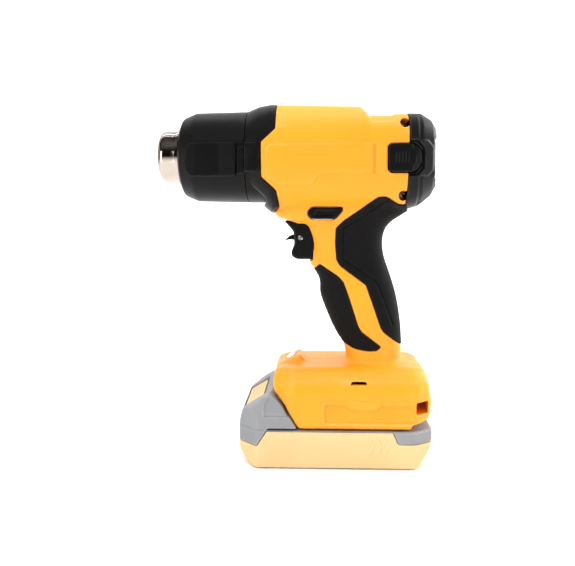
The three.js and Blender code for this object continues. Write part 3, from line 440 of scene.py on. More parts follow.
def column(b, stations, power, inward=0.0, ease=3.0):
    """A family of level sections up the handle, between its first and last stations."""
    front, back, half = along(b.z, stations, ease)
    side = oval(b.x - (front + back) / 2, b.y, (back - front) / 2 - inward, half - inward, power)
    return meet(side, slab(b.z, stations[0][0] - 0.5, stations[-1][0] + inward))


def foot_shape(b, inward=0.0):
    side = outline(FOOT_SIDE, b.x, b.z, 2.0)
    front = outline(FOOT_FRONT, b.y, b.z, 1.5)
    half = 36.9 - along(b.z, [(19, 36.9), (24, 36.9), (46, 36.1), (52, 33.4), (57, 28.4), (61, 23.4)])[0]
    sideways = (np.abs(b.y) + half - 36.9) * 0.759
    corners = np.maximum((b.x - 72.7) * 0.651 + sideways, (-5.1 - b.x) * 0.651 + sideways)
    return meet(meet(side, front, 3.5), corners, 2.5) + inward


def barrel_body(b):
    return meet(tube(b, BARREL), slab(b.x, -32, 76))


def cell_size():
    return bpy.context.scene.heat_gun_sizes.cell / MM


@functools.lru_cache(maxsize=1)
def half_block():
    """The right half of the body, which the left half mirrors."""
    return Block((-34, -1.5, 18), (92, 38.5, 227), cell_size())


@functools.lru_cache(maxsize=1)
def body_skin():
    """The outside of the whole moulded body, before its panels."""
    b = half_block()
    skin = merge(barrel_body(b), column(b, HOUSING, 3.4, ease=1.0), 1.0)
    skin = merge(skin, column(b, HANDLE, 2.6), 2.5)
    skin = merge(skin, foot_shape(b), 5.0)
    lamp = meet(outline(LAMP_SIDE, b.x, b.z, 1.5), b.y - 10, 2.5)
    return merge(skin, lamp, 2.5)


def panels(b):
    """Height of the casing's raised panels and sunk lines over its skin."""
    sizes = bpy.context.scene.heat_gun_sizes
    rise = sizes.panel_rise / MM
    flank = inside_of(26 - b.y, 2.0)
    height = 0.0
    plate = [
        (-16, 197.5), (45.9, 197.5), (45.9, 180), (14, 180),
        (8.4, 173), (-12, 173), (-19, 177.8), (-19, 194.5),
    ]
    strip = [(48.3, 197), (53.9, 197), (53.9, 179.7), (48.3, 179.7)]
    for shape in (plate, strip):
        height = height + rise * inside_of(outline(shape, b.x, b.z, 1.5), 0.9)
    groove = corners_of((46.6, 47.8), (179.7, 197))
    height = height - 0.7 * inside_of(outline(groove, b.x, b.z), 0.8)
    height = height * flank
    step = [(39.5, 228), (45.5, 211.6), (57.5, 211.8), (59.5, 213.5), (60.5, 228)]
    height = height - 1.1 * inside_of(outline(step, b.x, b.z, 1.0), 1.2)
    rim = [(15.35, 27), (15.35, 41.8), (75, 41.8), (79, 43), (84, 43), (84, 30.5), (72, 27)]
    well = [
        (17.2, 28.8), (17.2, 39.6), (29.5, 39.6), (32.5, 36.6),
        (48, 36.6), (51, 39.6), (72.4, 39.6), (72.4, 28.8),
    ]
    low = inside_of(b.z - 44.5, 0.5)
    height = height + 0.55 * inside_of(outline(rim, b.x, b.z, 2.2), 1.1) * low
    height = height - 1.15 * inside_of(outline(well, b.x, b.z, 1.2), 1.1) * low
    crease = outline([(-4, 47.5), (66, 48.6), (74, 50.5), (74.5, 58), (74, 62), (-4, 62)], b.x, b.z, 3.0)
    height = height + 0.25 * inside_of(crease, 2.5) * inside_of(24 - b.y, 3)
    return height


def cavity(b):
    """The hollow inside the casing."""
    hollow = np.maximum(tube(b, BARREL, WALL), -1)
    hollow = merge(hollow, column(b, HANDLE, 2.6, WALL))
    hollow = merge(hollow, column(b, HOUSING, 3.4, WALL, 1.0))
    return merge(hollow, meet(foot_shape(b, WALL), 45 - b.z, 1.0))


def casing(side):
    """One half of the yellow casing."""
    b = half_block()
    skin = body_skin()
    shell = carve(skin - panels(b), cavity(b))
    channel = meet(meet(b.y - 27, b.z - 42, 1.0), b.x - 70)
    shell = carve(shell, channel, 0.4)
    for x, z, _ in SCREWS.values():
        shell = merge(shell, meet(rod_along_y(b, x, z, SCREW_BOSS), skin + 0.5), 0.4)
    shell = merge(shell, meet(brick(b, (6, 70), (24.1, 35), (26.5, 29.5), 0.4), skin + 1))
    for shape in (REAR_GRIP, FRONT_GRIP):
        seat = outline(shape, b.x, b.z, 1.2)
        shell = carve(shell, meet(seat, -skin - 1.8), 0.35)
    shell = carve(shell, outline(COLLAR_EDGE, b.x, b.z, 0.5) - GAP, 0.5)
    shell = carve(shell, outline(CAP_EDGE, b.x, b.z) - GAP, 0.5)
    window = outline(latch_outline(RUN), b.x, b.z, 3.2)
    low, high = reach_of("latch_left")
    window = merge(window, meet(low.x + 5 - b.x, slab(b.z, low.z - RUN, high.z + RUN)))
    shell = carve(shell, meet(window, LATCH_WELL - b.y), 0.4)
    pocket = merge(
        brick(b, (-11, 20.5), (-8.5, 8.5), (125.4, 151.5), 0.5),
        brick(b, (-20, 8), (-8.5, 8.5), (130, 149), 0.5),
    )
    shell = carve(shell, pocket, 0.4)
    shell = carve(shell, outline(BUTTON, b.x, b.z, 1.2) - 0.4, 0.6)
    shell = carve(shell, lens_field(b, GAP), 0.4)
    shell = carve(shell, brick(b, (61, 67), (-7, 7), (41, 50)))
    shell = carve(shell, brick(b, (72.5, 80.25), (-FAR, FAR), (33.5, 41), 0.8), 0.7)
    vent = outline([(32.6, 51), (43.2, 51), (42, 52.9), (33.8, 52.9)], b.x, b.z, 0.4)
    shell = carve(shell, meet(vent, 28 - b.y), 0.3)
    for x, z, head in SCREWS.values():
        depth = 12 if head == side else 9.3
        shell = carve(shell, meet(rod_along_y(b, x, z, SCREW_HOLE), b.y - depth))
        if head == side:
            shell = carve(shell, meet(rod_along_y(b, x, z, SCREW_WELL), SCREW_SEAT - b.y), 0.25)
    return b, meet(shell, GAP / 2 - b.y, 0.25)


def grip(shape, line):
    """One half of a rubber grip laid into the casing."""
    b = half_block()
    skin = body_skin()
    side = outline(shape, b.x, b.z, 1.2)
    face = skin - 0.4
    if line:
        far = outline(line + line[::-1][1:-1], b.x, b.z)
        face = face + 0.9 * inside_of(np.abs(far) - 0.5, 0.8)
    else:
        face = face - 0.35 * inside_of(side + 3.2, 1.6)
    pad = meet(meet(side + GAP, face, 0.8), -skin - 1.5)
    pad = carve(pad, outline(CAP_EDGE, b.x, b.z) - GAP, 0.4)
    pad = carve(pad, outline(BUTTON, b.x, b.z) - 0.4, 0.3)
    pad = carve(pad, brick(b, (-20, 20.5), (-8.5, 8.5), (125.4, 151.5)))
    return b, pad


def grip_for(shape, line, side):
    b, pad = grip(shape, line)
    for x, z, head in SCREWS.values():
        if head == side:
            pad = carve(pad, meet(rod_along_y(b, x, z, SCREW_WELL + 0.1), SCREW_SEAT - b.y), 0.4)
    return b, meet(pad, GAP / 2 - b.y, 0.3)


def collar():
    """The black flared collar: a waist as wide as the shroud, a bevelled rim and a block on each side."""
    b = Block((-33.5, -34, 148), (-9, 34, 227), cell_size() * 0.8)
    edge = outline(COLLAR_EDGE, b.x, b.z, 0.5)
    y = np.abs(b.y)
    skin = meet(tube(b, COLLAR), slab(b.x, -32, 0)) + 0.1
    waist = meet(skin, rod_along_x(b, 29.4 + 7 * inside_of(198.4 - b.z, 1.2)))
    rim = meet(skin + 0.2 * np.maximum(-edge, 0), -edge - 7.5, 0.6)
    shape = merge(waist, rim, 0.4)
    block = outline(COLLAR_BLOCK, b.x, b.z, 0.6)
    plate = meet(meet(block, y - 31.6 - 0.11 * (b.x + 32), 0.8), 24 - y)
    ring = meet(merge(shape, plate, 0.3), edge, 1.0)
    ring = meet(ring, -32.05 - b.x, 0.1)
    ring = carve(ring, rod_along_x(b, 26.3), 0.4)
    for x, z, _ in SCREWS.values():
        ring = carve(ring, rod_along_y(b, x, z, 4.3))
    return b, ring


def shroud():
    """The black sleeve round the nozzle, with a raised pad on each side."""
    b = Block((-76.5, -32, AXIS_Z - 32), (-31, 32, AXIS_Z + 32), cell_size() * 0.9)
    profile = [
        (-75, 18.2), (-75, 21.3), (-73.2, 25.2), (-66, 28.3), (-64.5, 28.6), (-30, 29.4),
        (-30, 26.9), (-65.7, 25.9), (-71, 21.5), (-71, 18.2),
    ]
    y = np.abs(b.y)
    radius = np.sqrt(b.y**2 + (b.z - AXIS_Z) ** 2)
    sleeve = outline(soften(profile, 0.7), b.x, radius)
    front = [(-68.9, 182.5), (-65.5, 178.2), (-37.5, 178.2), (-37.5, 198.4), (-65.5, 198.4), (-68.9, 194)]
    rear = corners_of((-36.5, -30), (179.6, 195.8))
    lift = along(b.x, [(-70, 28.6), (-62, 29.4), (-48, 29.7), (-37.4, 31.5)])[0]
    pad = meet(meet(outline(front, b.x, b.z, 0.6), y - lift, 0.35), 26.5 - y)
    block = meet(meet(outline(rear, b.x, b.z, 0.5), y - 30.2, 0.3), 26.5 - y)
    pad = carve(merge(pad, block), radius - 26.5)
    return b, meet(merge(sleeve, pad, 0.3), b.x + 32.2, 0.1)


def rear_cap():
    """The dark intake cap: faceted, with a sunk grille field and a saddle behind each latch."""
    rear = reach_of("rear_cap")[1].x
    b = Block((66, -33, 155), (rear + 1.3, 33, 222), cell_size())
    y = np.abs(b.y)
    outer = meet(tube(b, CAP), b.x - rear, 0.9)
    edge = outline(CAP_EDGE, b.x, b.z, 0.5)
    shelf = 0.7 * inside_of(74.2 - b.x, 0.9) * inside_of(16 - y, 4)
    low, high = reach_of("latch_left")
    saddle = [
        (60, low.z - 2.5), (high.x + 3.4, low.z - 2.5), (high.x + 7.2, low.z + 1.6),
        (high.x + 7.2, high.z - 1.6), (high.x + 3.4, high.z + 2.5), (60, high.z + 2.5),
    ]
    frame_rim = inside_of(outline(saddle, b.x, b.z, 1.0), 1.2) * inside_of(16 - y, 3)
    moat = inside_of(outline(latch_outline(1.9), b.x, b.z, 1.2), 1.0) * inside_of(16 - y, 3)
    cap = meet(outer + shelf * (1 - frame_rim) + 2.2 * moat, edge, 0.6)
    cap = carve(cap, meet(tube(b, CAP, WALL), b.x - rear + WALL), 0.3)
    waist = [
        (rear - 2.4, AXIS_Z - 13.5), (rear + 3, AXIS_Z - 19),
        (rear + 3, AXIS_Z + 13), (rear - 2.4, AXIS_Z + 8),
    ]
    cap = carve(cap, outline(waist, b.x, b.z, 0.8), 0.8)
    for row in range(-3, 4):
        z = AXIS_Z - 2 + 5 * row
        half = 17 - abs(row)
        cap = carve(cap, brick(b, (rear - 9, rear + 9), (-half, half), (z - 1.3, z + 1.3), 0.9), 0.4)
    window = outline(latch_outline(RUN), b.x, b.z, 1.2)
    cap = carve(cap, meet(window, LATCH_WELL - y), 0.5)
    screen = brick(b, (69.5, rear - 2), (-FAR, FAR), (low.z - 2, high.z + 2))
    return b, merge(cap, meet(screen, slab(y, LATCH_FACE - 9.5, LATCH_FACE - 7.9)), 0.4)


def latch():
    """A latch button: a pad with a round bevelled tail and a few low ribs."""
    low, high = reach_of("latch_right")
    b = Block.round("latch_right", 0.28)
    side = outline(latch_outline(), b.x, b.z, 3.2)
    tail = inside_of(high.x - 6.0 - b.x, 1.0)
    face = b.y - high.y + 1.5 * np.clip(side + 3.4, 0, 3) * tail / 3.4
    for i in range(5):
        x = low.x + 5.0 + 1.9 * i
        rib = corners_of((x - 0.4, x + 0.4), (low.z + 5.5, high.z - 5.5))
        face = face + 0.2 * inside_of(outline(rib, b.x, b.z), 0.6)
    return b, meet(meet(side, face, 0.9), low.y - b.y, 0.3)


# ---- Trigger, lever and button ----
TRIGGER = [
    (-0.9, 125.9), (14, 125.9), (14, 151), (-9.3, 151), (-3, 143.9),
    (-2.5, 135.5), (-4.5, 130.9), (-4.2, 127.9),
]
LEVER = [
    (-2, 138.2), (1, 137), (3.4, 138), (3.4, 141.2), (1, 142.2),
    (-2.6, 142), (-6, 141), (-9.2, 137.6), (-6, 138.6),
]


def trigger():
    b = Block((-11, -9.5, 124), (26.5, 9.5, 152.5), 0.36)
    blade = meet(outline(TRIGGER, b.x, b.z, 1.5), np.abs(b.y) - 8, 1.8)
    plunger = meet(rod_along_x(b, 2.4, z=138), slab(b.x, 12, 24.5))
    body = merge(blade, plunger)
    slit = meet(np.abs(b.y) - 2.5, slab(b.z, 129, 147)) + np.maximum(b.x - 6, 0)
    body = carve(body, slit, 0.3)
    body = carve(body, rod_along_y(b, 1.25, 139.6, PIN_HOLE))
    return b, body


def lever():
    b = Block((-10.5, -3.5, 135.5), (5, 3.5, 143.5), 0.22)
    arm = meet(outline(LEVER, b.x, b.z, 0.7), np.abs(b.y) - 2.2, 0.6)
    return b, carve(arm, rod_along_y(b, 1.25, 139.6, PIN_HOLE), 0.15)


def lock_button():
    low, high = reach_of("lock_button")
    b = Block.round("lock_button", 0.36)
    bar = outline(BUTTON, b.x, b.z, 1.2)
    face = slab(b.y, low.y, high.y)
    dish = [(11, 153.8), (21.8, 153.8), (24.3, 157.3), (11, 157.3)]
    face = face + 0.35 * inside_of(outline(dish, b.x, b.z, 0.8), 0.7)
    return b, meet(bar, face, 0.5)


def lens_field(b, grow=0.0):
    """The lamp's oval lens, set square to the slope it sits in."""
    c, s = math.cos(LAMP_TILT), math.sin(LAMP_TILT)
    x, z = b.x - LAMP_CENTRE[0], b.z - LAMP_CENTRE[2]
    slope, rise = x * c + z * s, z * c - x * s
    rim = oval(slope, b.y, 3.2 + grow, 6 + grow, 2.0)
    return meet(rim, slab(rise, -2.4 - grow, 0.6 + grow), 0.5 if not grow else 0.0)


def lamp_lens():
    b = Block((-9.5, -7.5, 56.5), (0, 7.5, 66), 0.25)
    return b, lens_field(b)


# ---- Battery ----
PACK_SIDE = [
    (-26.8, 0), (71.6, 0), (74.6, 2), (79.6, 8), (81.6, 11), (83.6, 16),
    (83.6, 24), (-36.8, 24), (-36.8, 11), (-35.8, 8), (-29.8, 2),
]
PACK_FRONT = [(-36.5, 0), (36.5, 0), (37.4, 8), (37.5, 11), (37.5, 24), (-37.5, 24), (-37.5, 11), (-37.4, 8)]
PACK_PLAN = [
    (83.6, 29.5), (71.6, 37.5), (-23.8, 37.5), (-36.8, 25),
    (-36.8, -25), (-23.8, -37.5), (71.6, -37.5), (83.6, -29.5),
]
TOWER_SIDE = [
    (-36.8, 15), (0.3, 15), (0.3, 24.2), (-5.4, 33.2), (-8.2, 38.1), (-13.2, 43), (-15.8, 44.5), (-17, 44.5),
    (-34.2, 33.6), (-37, 25),
]
TOWER_FRONT = [(-36.7, 15), (36.7, 15), (36.7, 32), (32, 46), (-32, 46), (-36.7, 32)]
TOWER_PLAN = [(12, 36.7), (-23.8, 36.7), (-36.8, 24.2), (-36.8, -24.2), (-23.8, -36.7), (12, -36.7)]
TOWER_STEP = [(-20, 24), (8, 24), (8, 50), (-14, 50), (-20, 38)]
CREAM_EDGE = [
    (-FAR, -FAR), (FAR, -FAR), (FAR, 16), (61.5, 15.6), (57.7, 24.3), (-17.7, 24.3), (-24, 14), (-FAR, 12),
]


def pack_block():
    return Block((-38.3, -39, -1.5), (85, 39, 45), cell_size() * 1.1)


def pack_skin(b):
    side = outline(PACK_SIDE, b.x, b.z, 1.5)
    front = outline(PACK_FRONT, b.y, b.z, 1.5)
    plan = outline(PACK_PLAN, b.x, b.y, 3.0)
    return meet(meet(side, front, 2.0), plan, 1.5)


def pack_hollow(b):
    return meet(pack_skin(b) + 2.4, b.z - 22)


def cells(b):
    """Room for the five cells."""
    room = np.float32(1e3)
    for i in range(5):
        middle = centre_of(f"battery_cell_{i + 1}")
        room = np.minimum(room, meet(rod_along_y(b, middle.x, middle.z, 9.4), np.abs(b.y) - 32.8))
    return room


def pack_lower():
    b = pack_block()
    skin = pack_skin(b)
    height = 0.0
    for i in range(3):
        x = 43.2 + 4.5 * i
        chevron = [(x, 19.8), (x + 1.1, 19.8), (x + 3.6, 14.8), (x + 1.1, 9.8), (x, 9.8), (x + 2.3, 14.8)]
        height = height + 0.5 * inside_of(outline(chevron, b.x, b.z), 0.7)
    shell = meet(skin - height, outline(CREAM_EDGE, b.x, b.z, 0.8), 0.5)
    shell = carve(shell, pack_hollow(b))
    shell = carve(shell, brick(b, (-21.3, 60.3), (-36.3, 36.3), (20, 25)))
    return b, carve(shell, cells(b))


def pack_upper():
    b = pack_block()
    tower = meet(outline(TOWER_SIDE, b.x, b.z, 1.2), outline(TOWER_FRONT, b.y, b.z, 1.5), 1.2)
    tower = meet(tower, outline(TOWER_PLAN, b.x, b.y, 3.0), 1.5)
    step = inside_of(31.8 - b.z, 0.7) * inside_of(outline(TOWER_STEP, b.x, b.z, 1.5), 1.5)
    y = np.abs(b.y)
    tower = tower + 0.8 * step * inside_of(24 - y, 2.0)
    slide = brick(b, (-12, 56), (-26.5, 26.5), (15, 41.5), 1.0)
    shape = merge(merge(pack_skin(b), tower, 0.8), slide, 0.4)
    shape = carve(shape, outline(CREAM_EDGE, b.x, b.z, 0.8) - GAP, 0.5)
    lid = brick(b, (-21, 60), (-36, 36), (22, 28), 0.3)
    shape = merge(shape, meet(lid, merge(pack_skin(b), slide)))
    under = brick(b, (-2, 53), (-24.1, 24.1), (0, 25.4))
    for room in (pack_hollow(b), cells(b), under, brick(b, (-2, 53), (-21.3, 21.3), (25, 39.1))):
        shape = carve(shape, room)
    grooves = meet(meet(slab(b.x, 4.5, 71), slab(b.z, 26, 30)), 23.6 - y)
    shape = carve(shape, grooves, 0.3)
    for side in (-1, 1):
        shape = carve(shape, brick(b, (45, 72), (side * 11 - 2.3, side * 11 + 2.3), (29.1, 39.9), 0.4), 0.3)
    low, high = reach_of("battery_release_button")
    recess = brick(b, (low.x - 1.3, high.x + 1.3), (low.y - RUN, high.y + RUN), (24, 55), 0.8)
    return b, carve(shape, recess, 0.5)


def release_button():
    high = reach_of("battery_release_button")[1]
    b = Block.round("battery_release_button", 0.4)
    side = outline([(-33.2, 29), (-21.6, 29), (-21.6, 40.2), (-33.2, 33.2)], b.x, b.z, 1.0)
    slope = (b.z - 33.2) * 0.856 - (b.x + 33.2) * 0.516
    ribs = 0.0
    for i in range(4):
        x = -30.6 + 2.3 * i
        along_slope = (b.x - x) * 0.856 + (b.z - 33.2 - (x + 33.2) * 0.603) * 0.516
        rib = np.maximum(np.abs(along_slope) - 0.4, np.abs(b.y) - 13)
        ribs = ribs + 0.4 * inside_of(rib, 0.7)
    side = side + ribs * inside_of(-slope - 1.5, 1.0)
    return b, meet(side, np.abs(b.y) - high.y, 1.0)


# ---- Finishes ----
class Wire:
    """A socket whose arithmetic adds Math nodes."""

    def __init__(self, finish, socket):
        self.finish, self.socket = finish, socket

    def maths(self, operation, first, second):
        return self.finish.node("ShaderNodeMath", {"operation": operation}, {0: first, 1: second})

    def __add__(self, other):
        return self.maths("ADD", self, other)

    def __mul__(self, other):
        return self.maths("MULTIPLY", self, other)

    def __sub__(self, other):
        return self.maths("SUBTRACT", self, other)

    __radd__, __rmul__ = __add__, __mul__


class Finish:
    """A material being made, with one method that adds any node to it."""

    def __init__(self, name):
        self.material = bpy.data.materials.new(name)
        self.material.use_nodes = True
        self.tree = self.material.node_tree
        self.shader = self.tree.nodes["Principled BSDF"]
        self.place = self.node("ShaderNodeTexCoord", {}, {}, "Object")

    def node(self, kind, settings, inputs, output=0):
        made = self.tree.nodes.new(kind)
        for name, value in settings.items():
            if name == "stops":
                ramp = made.color_ramp.elements
                while len(ramp) < len(value):
                    ramp.new(0.5)
                for element, (at, colour) in zip(ramp, value):
                    element.position, element.color = at, colour
            else:
                setattr(made, name, value)
        for name, value in inputs.items():
            if isinstance(value, Wire):
                self.tree.links.new(value.socket, made.inputs[name])
            else:
                made.inputs[name].default_value = value
        return Wire(self, made.outputs[output])

    def noise(self, scale, detail=3.0, stretch=None):
        place = self.place
        if stretch:
            place = self.node("ShaderNodeMapping", {}, {"Vector": place, "Scale": stretch})
        return self.node("ShaderNodeTexNoise", {}, {"Vector": place, "Scale": scale, "Detail": detail})

    def between(self, value, low, high):
        """A value moved from low…high to 0…1."""
        settings = {"clamp": True}
        inputs = {"Value": value, "From Min": low, "From Max": high}
        return self.node("ShaderNodeMapRange", settings, inputs)

    def mixed(self, share, first, second):
        settings = {"data_type": "RGBA"}
        return self.node("ShaderNodeMix", settings, {0: share, 6: first, 7: second}, 2)

    def worn(self):
        """How far a point lies on an outer edge, from 0 to 1."""
        edge = self.node("ShaderNodeAttribute", {"attribute_name": "worn_edge"}, {}, "Fac")
        return self.between(edge, 0.15, 0.9)

    def hollow(self):
        """How far a point lies in an inner corner, from 0 to 1."""
        edge = self.node("ShaderNodeAttribute", {"attribute_name": "worn_edge"}, {}, "Fac")
        return self.between(edge, -0.15, -0.9)

    def bump(self, height, depth, under=None):
        inputs = {"Height": height, "Strength": 1.0, "Distance": depth}
        if under:
            inputs["Normal"] = under
        return self.node("ShaderNodeBump", {}, inputs)

    def finish_with(self, **sockets):
        for name, value in sockets.items():
            socket = self.shader.inputs[name.replace("_", " ")]
            if isinstance(value, Wire):
                self.tree.links.new(value.socket, socket)
            else:
                socket.default_value = value
        return self.material


def shade(colour, factor):
    return (*[min(1.0, c * factor) for c in colour[:3]], 1.0)


def moulded_plastic(finish, colour, rough=0.5, grain=0.02, level=0.4, wear=0.35, painted_corner_shade=0.4):
    """Spark-textured moulding: fine grain, faint flow marks, paler edges and dust-dark corners."""
    cloud = finish.noise(22.0, 4.0)
    speck = finish.noise(2600.0, 2.0)
    tone = finish.mixed(finish.between(cloud, 0.3, 0.7), shade(colour, 0.955), shade(colour, 1.04))
    tone = finish.mixed(finish.between(speck, 0.62, 0.75) * 0.18, tone, shade(colour, 0.8))
    edge = finish.worn() * finish.between(finish.noise(160.0), 0.35, 0.65)
    pale = [c + (1 - c) * 0.25 for c in colour[:3]]
    tone = finish.mixed(edge * wear, tone, (*pale, 1.0))
    # painted shade: the last argument darkens inner corners towards 0.45 of the colour
    tone = finish.mixed(finish.hollow() * painted_corner_shade, tone, shade(colour, 0.45))
    roughness = finish.between(cloud, 0.25, 0.75) * 0.08 + (rough - 0.04) - edge * 0.1
    normal = finish.bump(speck, grain * MM, finish.bump(finish.noise(60.0, 1.0), 0.03 * MM))
    return finish.finish_with(Base_Color=tone, Roughness=roughness, Normal=normal, Specular_IOR_Level=level)


def grip_rubber(finish, colour):
    """Soft matt rubber with a fine leathery cell pattern and polished high spots."""
    cell = finish.node("ShaderNodeTexVoronoi", {}, {"Vector": finish.place, "Scale": 900.0}, "Distance")
    cloud = finish.noise(45.0, 4.0)
    tone = finish.mixed(finish.between(cloud, 0.3, 0.7), shade(colour, 0.8), shade(colour, 1.2))
    edge = finish.worn() * finish.between(finish.noise(200.0), 0.3, 0.7)
    tone = finish.mixed(edge * 0.35, tone, shade(colour, 2.2))
    roughness = 0.72 + finish.between(cloud, 0.3, 0.7) * 0.12 - edge * 0.15
    normal = finish.bump(cell, 0.05 * MM)
    return finish.finish_with(Base_Color=tone, Roughness=roughness, Normal=normal, Specular_IOR_Level=0.16)


def bright_metal(finish, colour, rough, stretch, scratches=0.06, tint=0.0):
    """Metal with fine drawn lines, faint smears and, where it runs hot, a warm tint."""
    lines = finish.noise(1500.0, 3.0, stretch)
    smear = finish.noise(35.0, 3.0)
    tone = finish.mixed(finish.between(smear, 0.4, 0.7) * 0.5, shade(colour, 1.0), shade(colour, 0.86))
    if tint:
        tone = finish.mixed(finish.between(finish.noise(18.0), 0.45, 0.65) * tint, tone, (0.62, 0.5, 0.36, 1))
    roughness = rough + finish.between(smear, 0.35, 0.7) * 0.06 + lines * scratches
    normal = finish.bump(lines, 0.002 * MM)
    return finish.finish_with(Base_Color=tone, Roughness=roughness, Normal=normal, Metallic=1.0)


def plain_part(finish, colour, rough, grain, scale, level=0.4):
    """Mica, board, lead and cell coverings: mottled, with a light grain."""
    cloud = finish.noise(90.0, 4.0)
    fine = finish.noise(scale, 3.0)
    tone = finish.mixed(finish.between(cloud, 0.3, 0.7), shade(colour, 0.88), shade(colour, 1.12))
    tone = finish.mixed(finish.between(fine, 0.55, 0.75) * 0.25, tone, shade(colour, 0.6))
    roughness = rough + finish.between(fine, 0.3, 0.7) * 0.1
    return finish.finish_with(
        Base_Color=tone, Roughness=roughness, Normal=finish.bump(fine, grain * MM), Specular_IOR_Level=level
    )


def clear_lens(finish, colour):
    """Milky lamp lens with a faint diamond pattern under it."""
    ring = finish.node("ShaderNodeTexVoronoi", {}, {"Vector": finish.place, "Scale": 620.0}, "Distance")
    tone = finish.mixed(finish.between(ring, 0.1, 0.6), shade(colour, 1.1), shade(colour, 0.72))
    normal = finish.bump(ring, 0.15 * MM)
    roughness = finish.noise(80.0) * 0.08 + 0.1
    return finish.finish_with(Base_Color=tone, Roughness=roughness, Normal=normal, Coat_Weight=0.6)


# In the moulded_plastic entries the fifth number, where given, is how strongly painted shade darkens inner
# corners (0.4 where not given).
FINISHES = {
    "body_yellow": lambda f, c: moulded_plastic(f, c, 0.46, 0.010, 0.3, 0.25, 0.12),
    "shroud_black": lambda f, c: moulded_plastic(f, c, 0.38, 0.012, 0.15, 0.02, 0.3),
    "cap_dark": lambda f, c: moulded_plastic(f, c, 0.45, 0.03, 0.17, 0.1, 0.35),
    "grip_rubber": grip_rubber,
    "nozzle_chrome": lambda f, c: bright_metal(f, c, 0.06, (1, 1, 1), 0.02, 0.35),
    "steel": lambda f, c: bright_metal(f, c, 0.26, (0.05, 1, 1), 0.12),
    "mica": lambda f, c: plain_part(f, c, 0.55, 0.02, 700.0),
    "heater_wire": lambda f, c: bright_metal(f, c, 0.38, (1, 1, 1), 0.2, 0.6),
    "brass": lambda f, c: bright_metal(f, c, 0.22, (1, 0.05, 1), 0.1),
    "board_green": lambda f, c: plain_part(f, c, 0.35, 0.02, 500.0, 0.5),
    "white_plastic": lambda f, c: moulded_plastic(f, c, 0.5, 0.01),
    "lens": clear_lens,
    "lead_red": lambda f, c: plain_part(f, c, 0.4, 0.01, 900.0),
    "lead_black": lambda f, c: plain_part(f, c, 0.4, 0.01, 900.0),
    "pack_grey": lambda f, c: moulded_plastic(f, c, 0.55, 0.02, 0.35, 0.3, 0.3),
    "pack_cream": lambda f, c: moulded_plastic(f, c, 0.5, 0.012, 0.35, 0.25, 0.3),
    "cell_blue": lambda f, c: plain_part(f, c, 0.3, 0.005, 300.0, 0.5),
}


@functools.lru_cache(maxsize=None)
def finish_of(slot):
    colour = getattr(bpy.context.scene.heat_gun_colours, slot)
    return FINISHES[slot](Finish(slot), tuple(colour))


SLOT_OF = {part["node"]: part["material_slot"] for part in frame["record"]["subparts"]}


def place_piece(name, mesh, body, *nodes):
    """Puts a mesh on its body in place of its frame nodes, with their finish."""
    slot = SLOT_OF[nodes[0]]
    piece = bpy.data.objects.new(name, mesh)
    bpy.context.scene.collection.objects.link(piece)
    mesh.materials.append(finish_of(slot))
    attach(piece, body)
    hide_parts(*nodes)
    return piece


def place_moulded(name, made, most, body, node, mirror=False):
    """Meshes a (block, field) pair and places it as a piece."""
    place_piece(name, moulded(name, *made, most, mirror), body, node)


def ribbon(name, profile, left, right):
    """A sheet with a (y, z) profile, drawn out from left to right."""
    points = [(x, y, z) for y, z in profile for x in (left, right)]
    faces = [(2 * i, 2 * i + 1, 2 * i + 3, 2 * i + 2) for i in range(len(profile) - 1)]
    sheet = bpy.data.objects.new(name, mesh_of(name, points, faces))
    bpy.context.scene.collection.objects.link(sheet)
    return sheet


# ---- What a user may change ----
def tint(red, green, blue):
    """A colour given as on a paint card, 0 to 255, in the linear values that shaders use."""
    shares = (red / 255, green / 255, blue / 255)
    return tuple(c / 12.92 if c <= 0.04045 else ((c + 0.055) / 1.055) ** 2.4 for c in shares)


COLOURS = {
    "body_yellow": ("Casing", tint(250, 161, 33)),
    "shroud_black": ("Shroud, collar and buttons", tint(9, 9, 9)),
    "cap_dark": ("Intake cap", tint(17, 16, 16)),
    "grip_rubber": ("Rubber grips", tint(13, 12, 12)),
    "nozzle_chrome": ("Nozzle", tint(190, 181, 176)),
    "steel": ("Screws and steel pieces", tint(190, 190, 190)),
    "mica": ("Heater mica", tint(190, 168, 130)),
    "heater_wire": ("Heater wire", tint(150, 138, 128)),
    "brass": ("Terminals", tint(214, 178, 96)),
    "board_green": ("Circuit boards", tint(26, 84, 54)),
    "white_plastic": ("Thermal cut-off", tint(228, 224, 216)),
    "lens": ("Lamp lens", tint(246, 232, 228)),
    "lead_red": ("Red leads", tint(176, 34, 26)),
    "lead_black": ("Black leads", tint(18, 18, 18)),
    "pack_grey": ("Battery top", tint(142, 143, 146)),
    "pack_cream": ("Battery base", tint(236, 194, 138)),
    "cell_blue": ("Battery cells", tint(62, 124, 172)),
}


def colour_property(label, default):
    return bpy.props.FloatVectorProperty(
        name=label, description=f"Colour of: {label.lower()}", subtype="COLOR", size=3,
        min=0, max=1, default=default,
    )


HeatGunColours = type(
    "HeatGunColours",
    (bpy.types.PropertyGroup,),
    {
        "__doc__": "Colours of the gun's finishes.",
        "__annotations__": {slot: colour_property(label, value) for slot, (label, value) in COLOURS.items()},
    },
)


class HeatGunSizes(bpy.types.PropertyGroup):
    """Sizes of the mouldings' details."""

    cell: bpy.props.FloatProperty(
        name="Fineness", description="Cell that the mouldings are worked out in", default=0.5 * MM,
        min=0.3 * MM, max=1.5 * MM, unit="LENGTH", precision=5,
    )
    panel_rise: bpy.props.FloatProperty(
        name="Panel rise", description="How far the side panels stand out of the casing", default=0.55 * MM,
        min=0, max=1.5 * MM, unit="LENGTH", precision=5,
    )
    casing_triangles: bpy.props.IntProperty(
        name="Casing triangles", description="Most triangles in one half of the casing",
        default=95000, min=5000,
    )


# ---- One operator for each piece or group of like pieces ----
class GunOperator:
    bl_options = {"REGISTER", "UNDO"}

    def execute(self, context):
        self.build(context.scene.heat_gun_sizes)
        return {"FINISHED"}


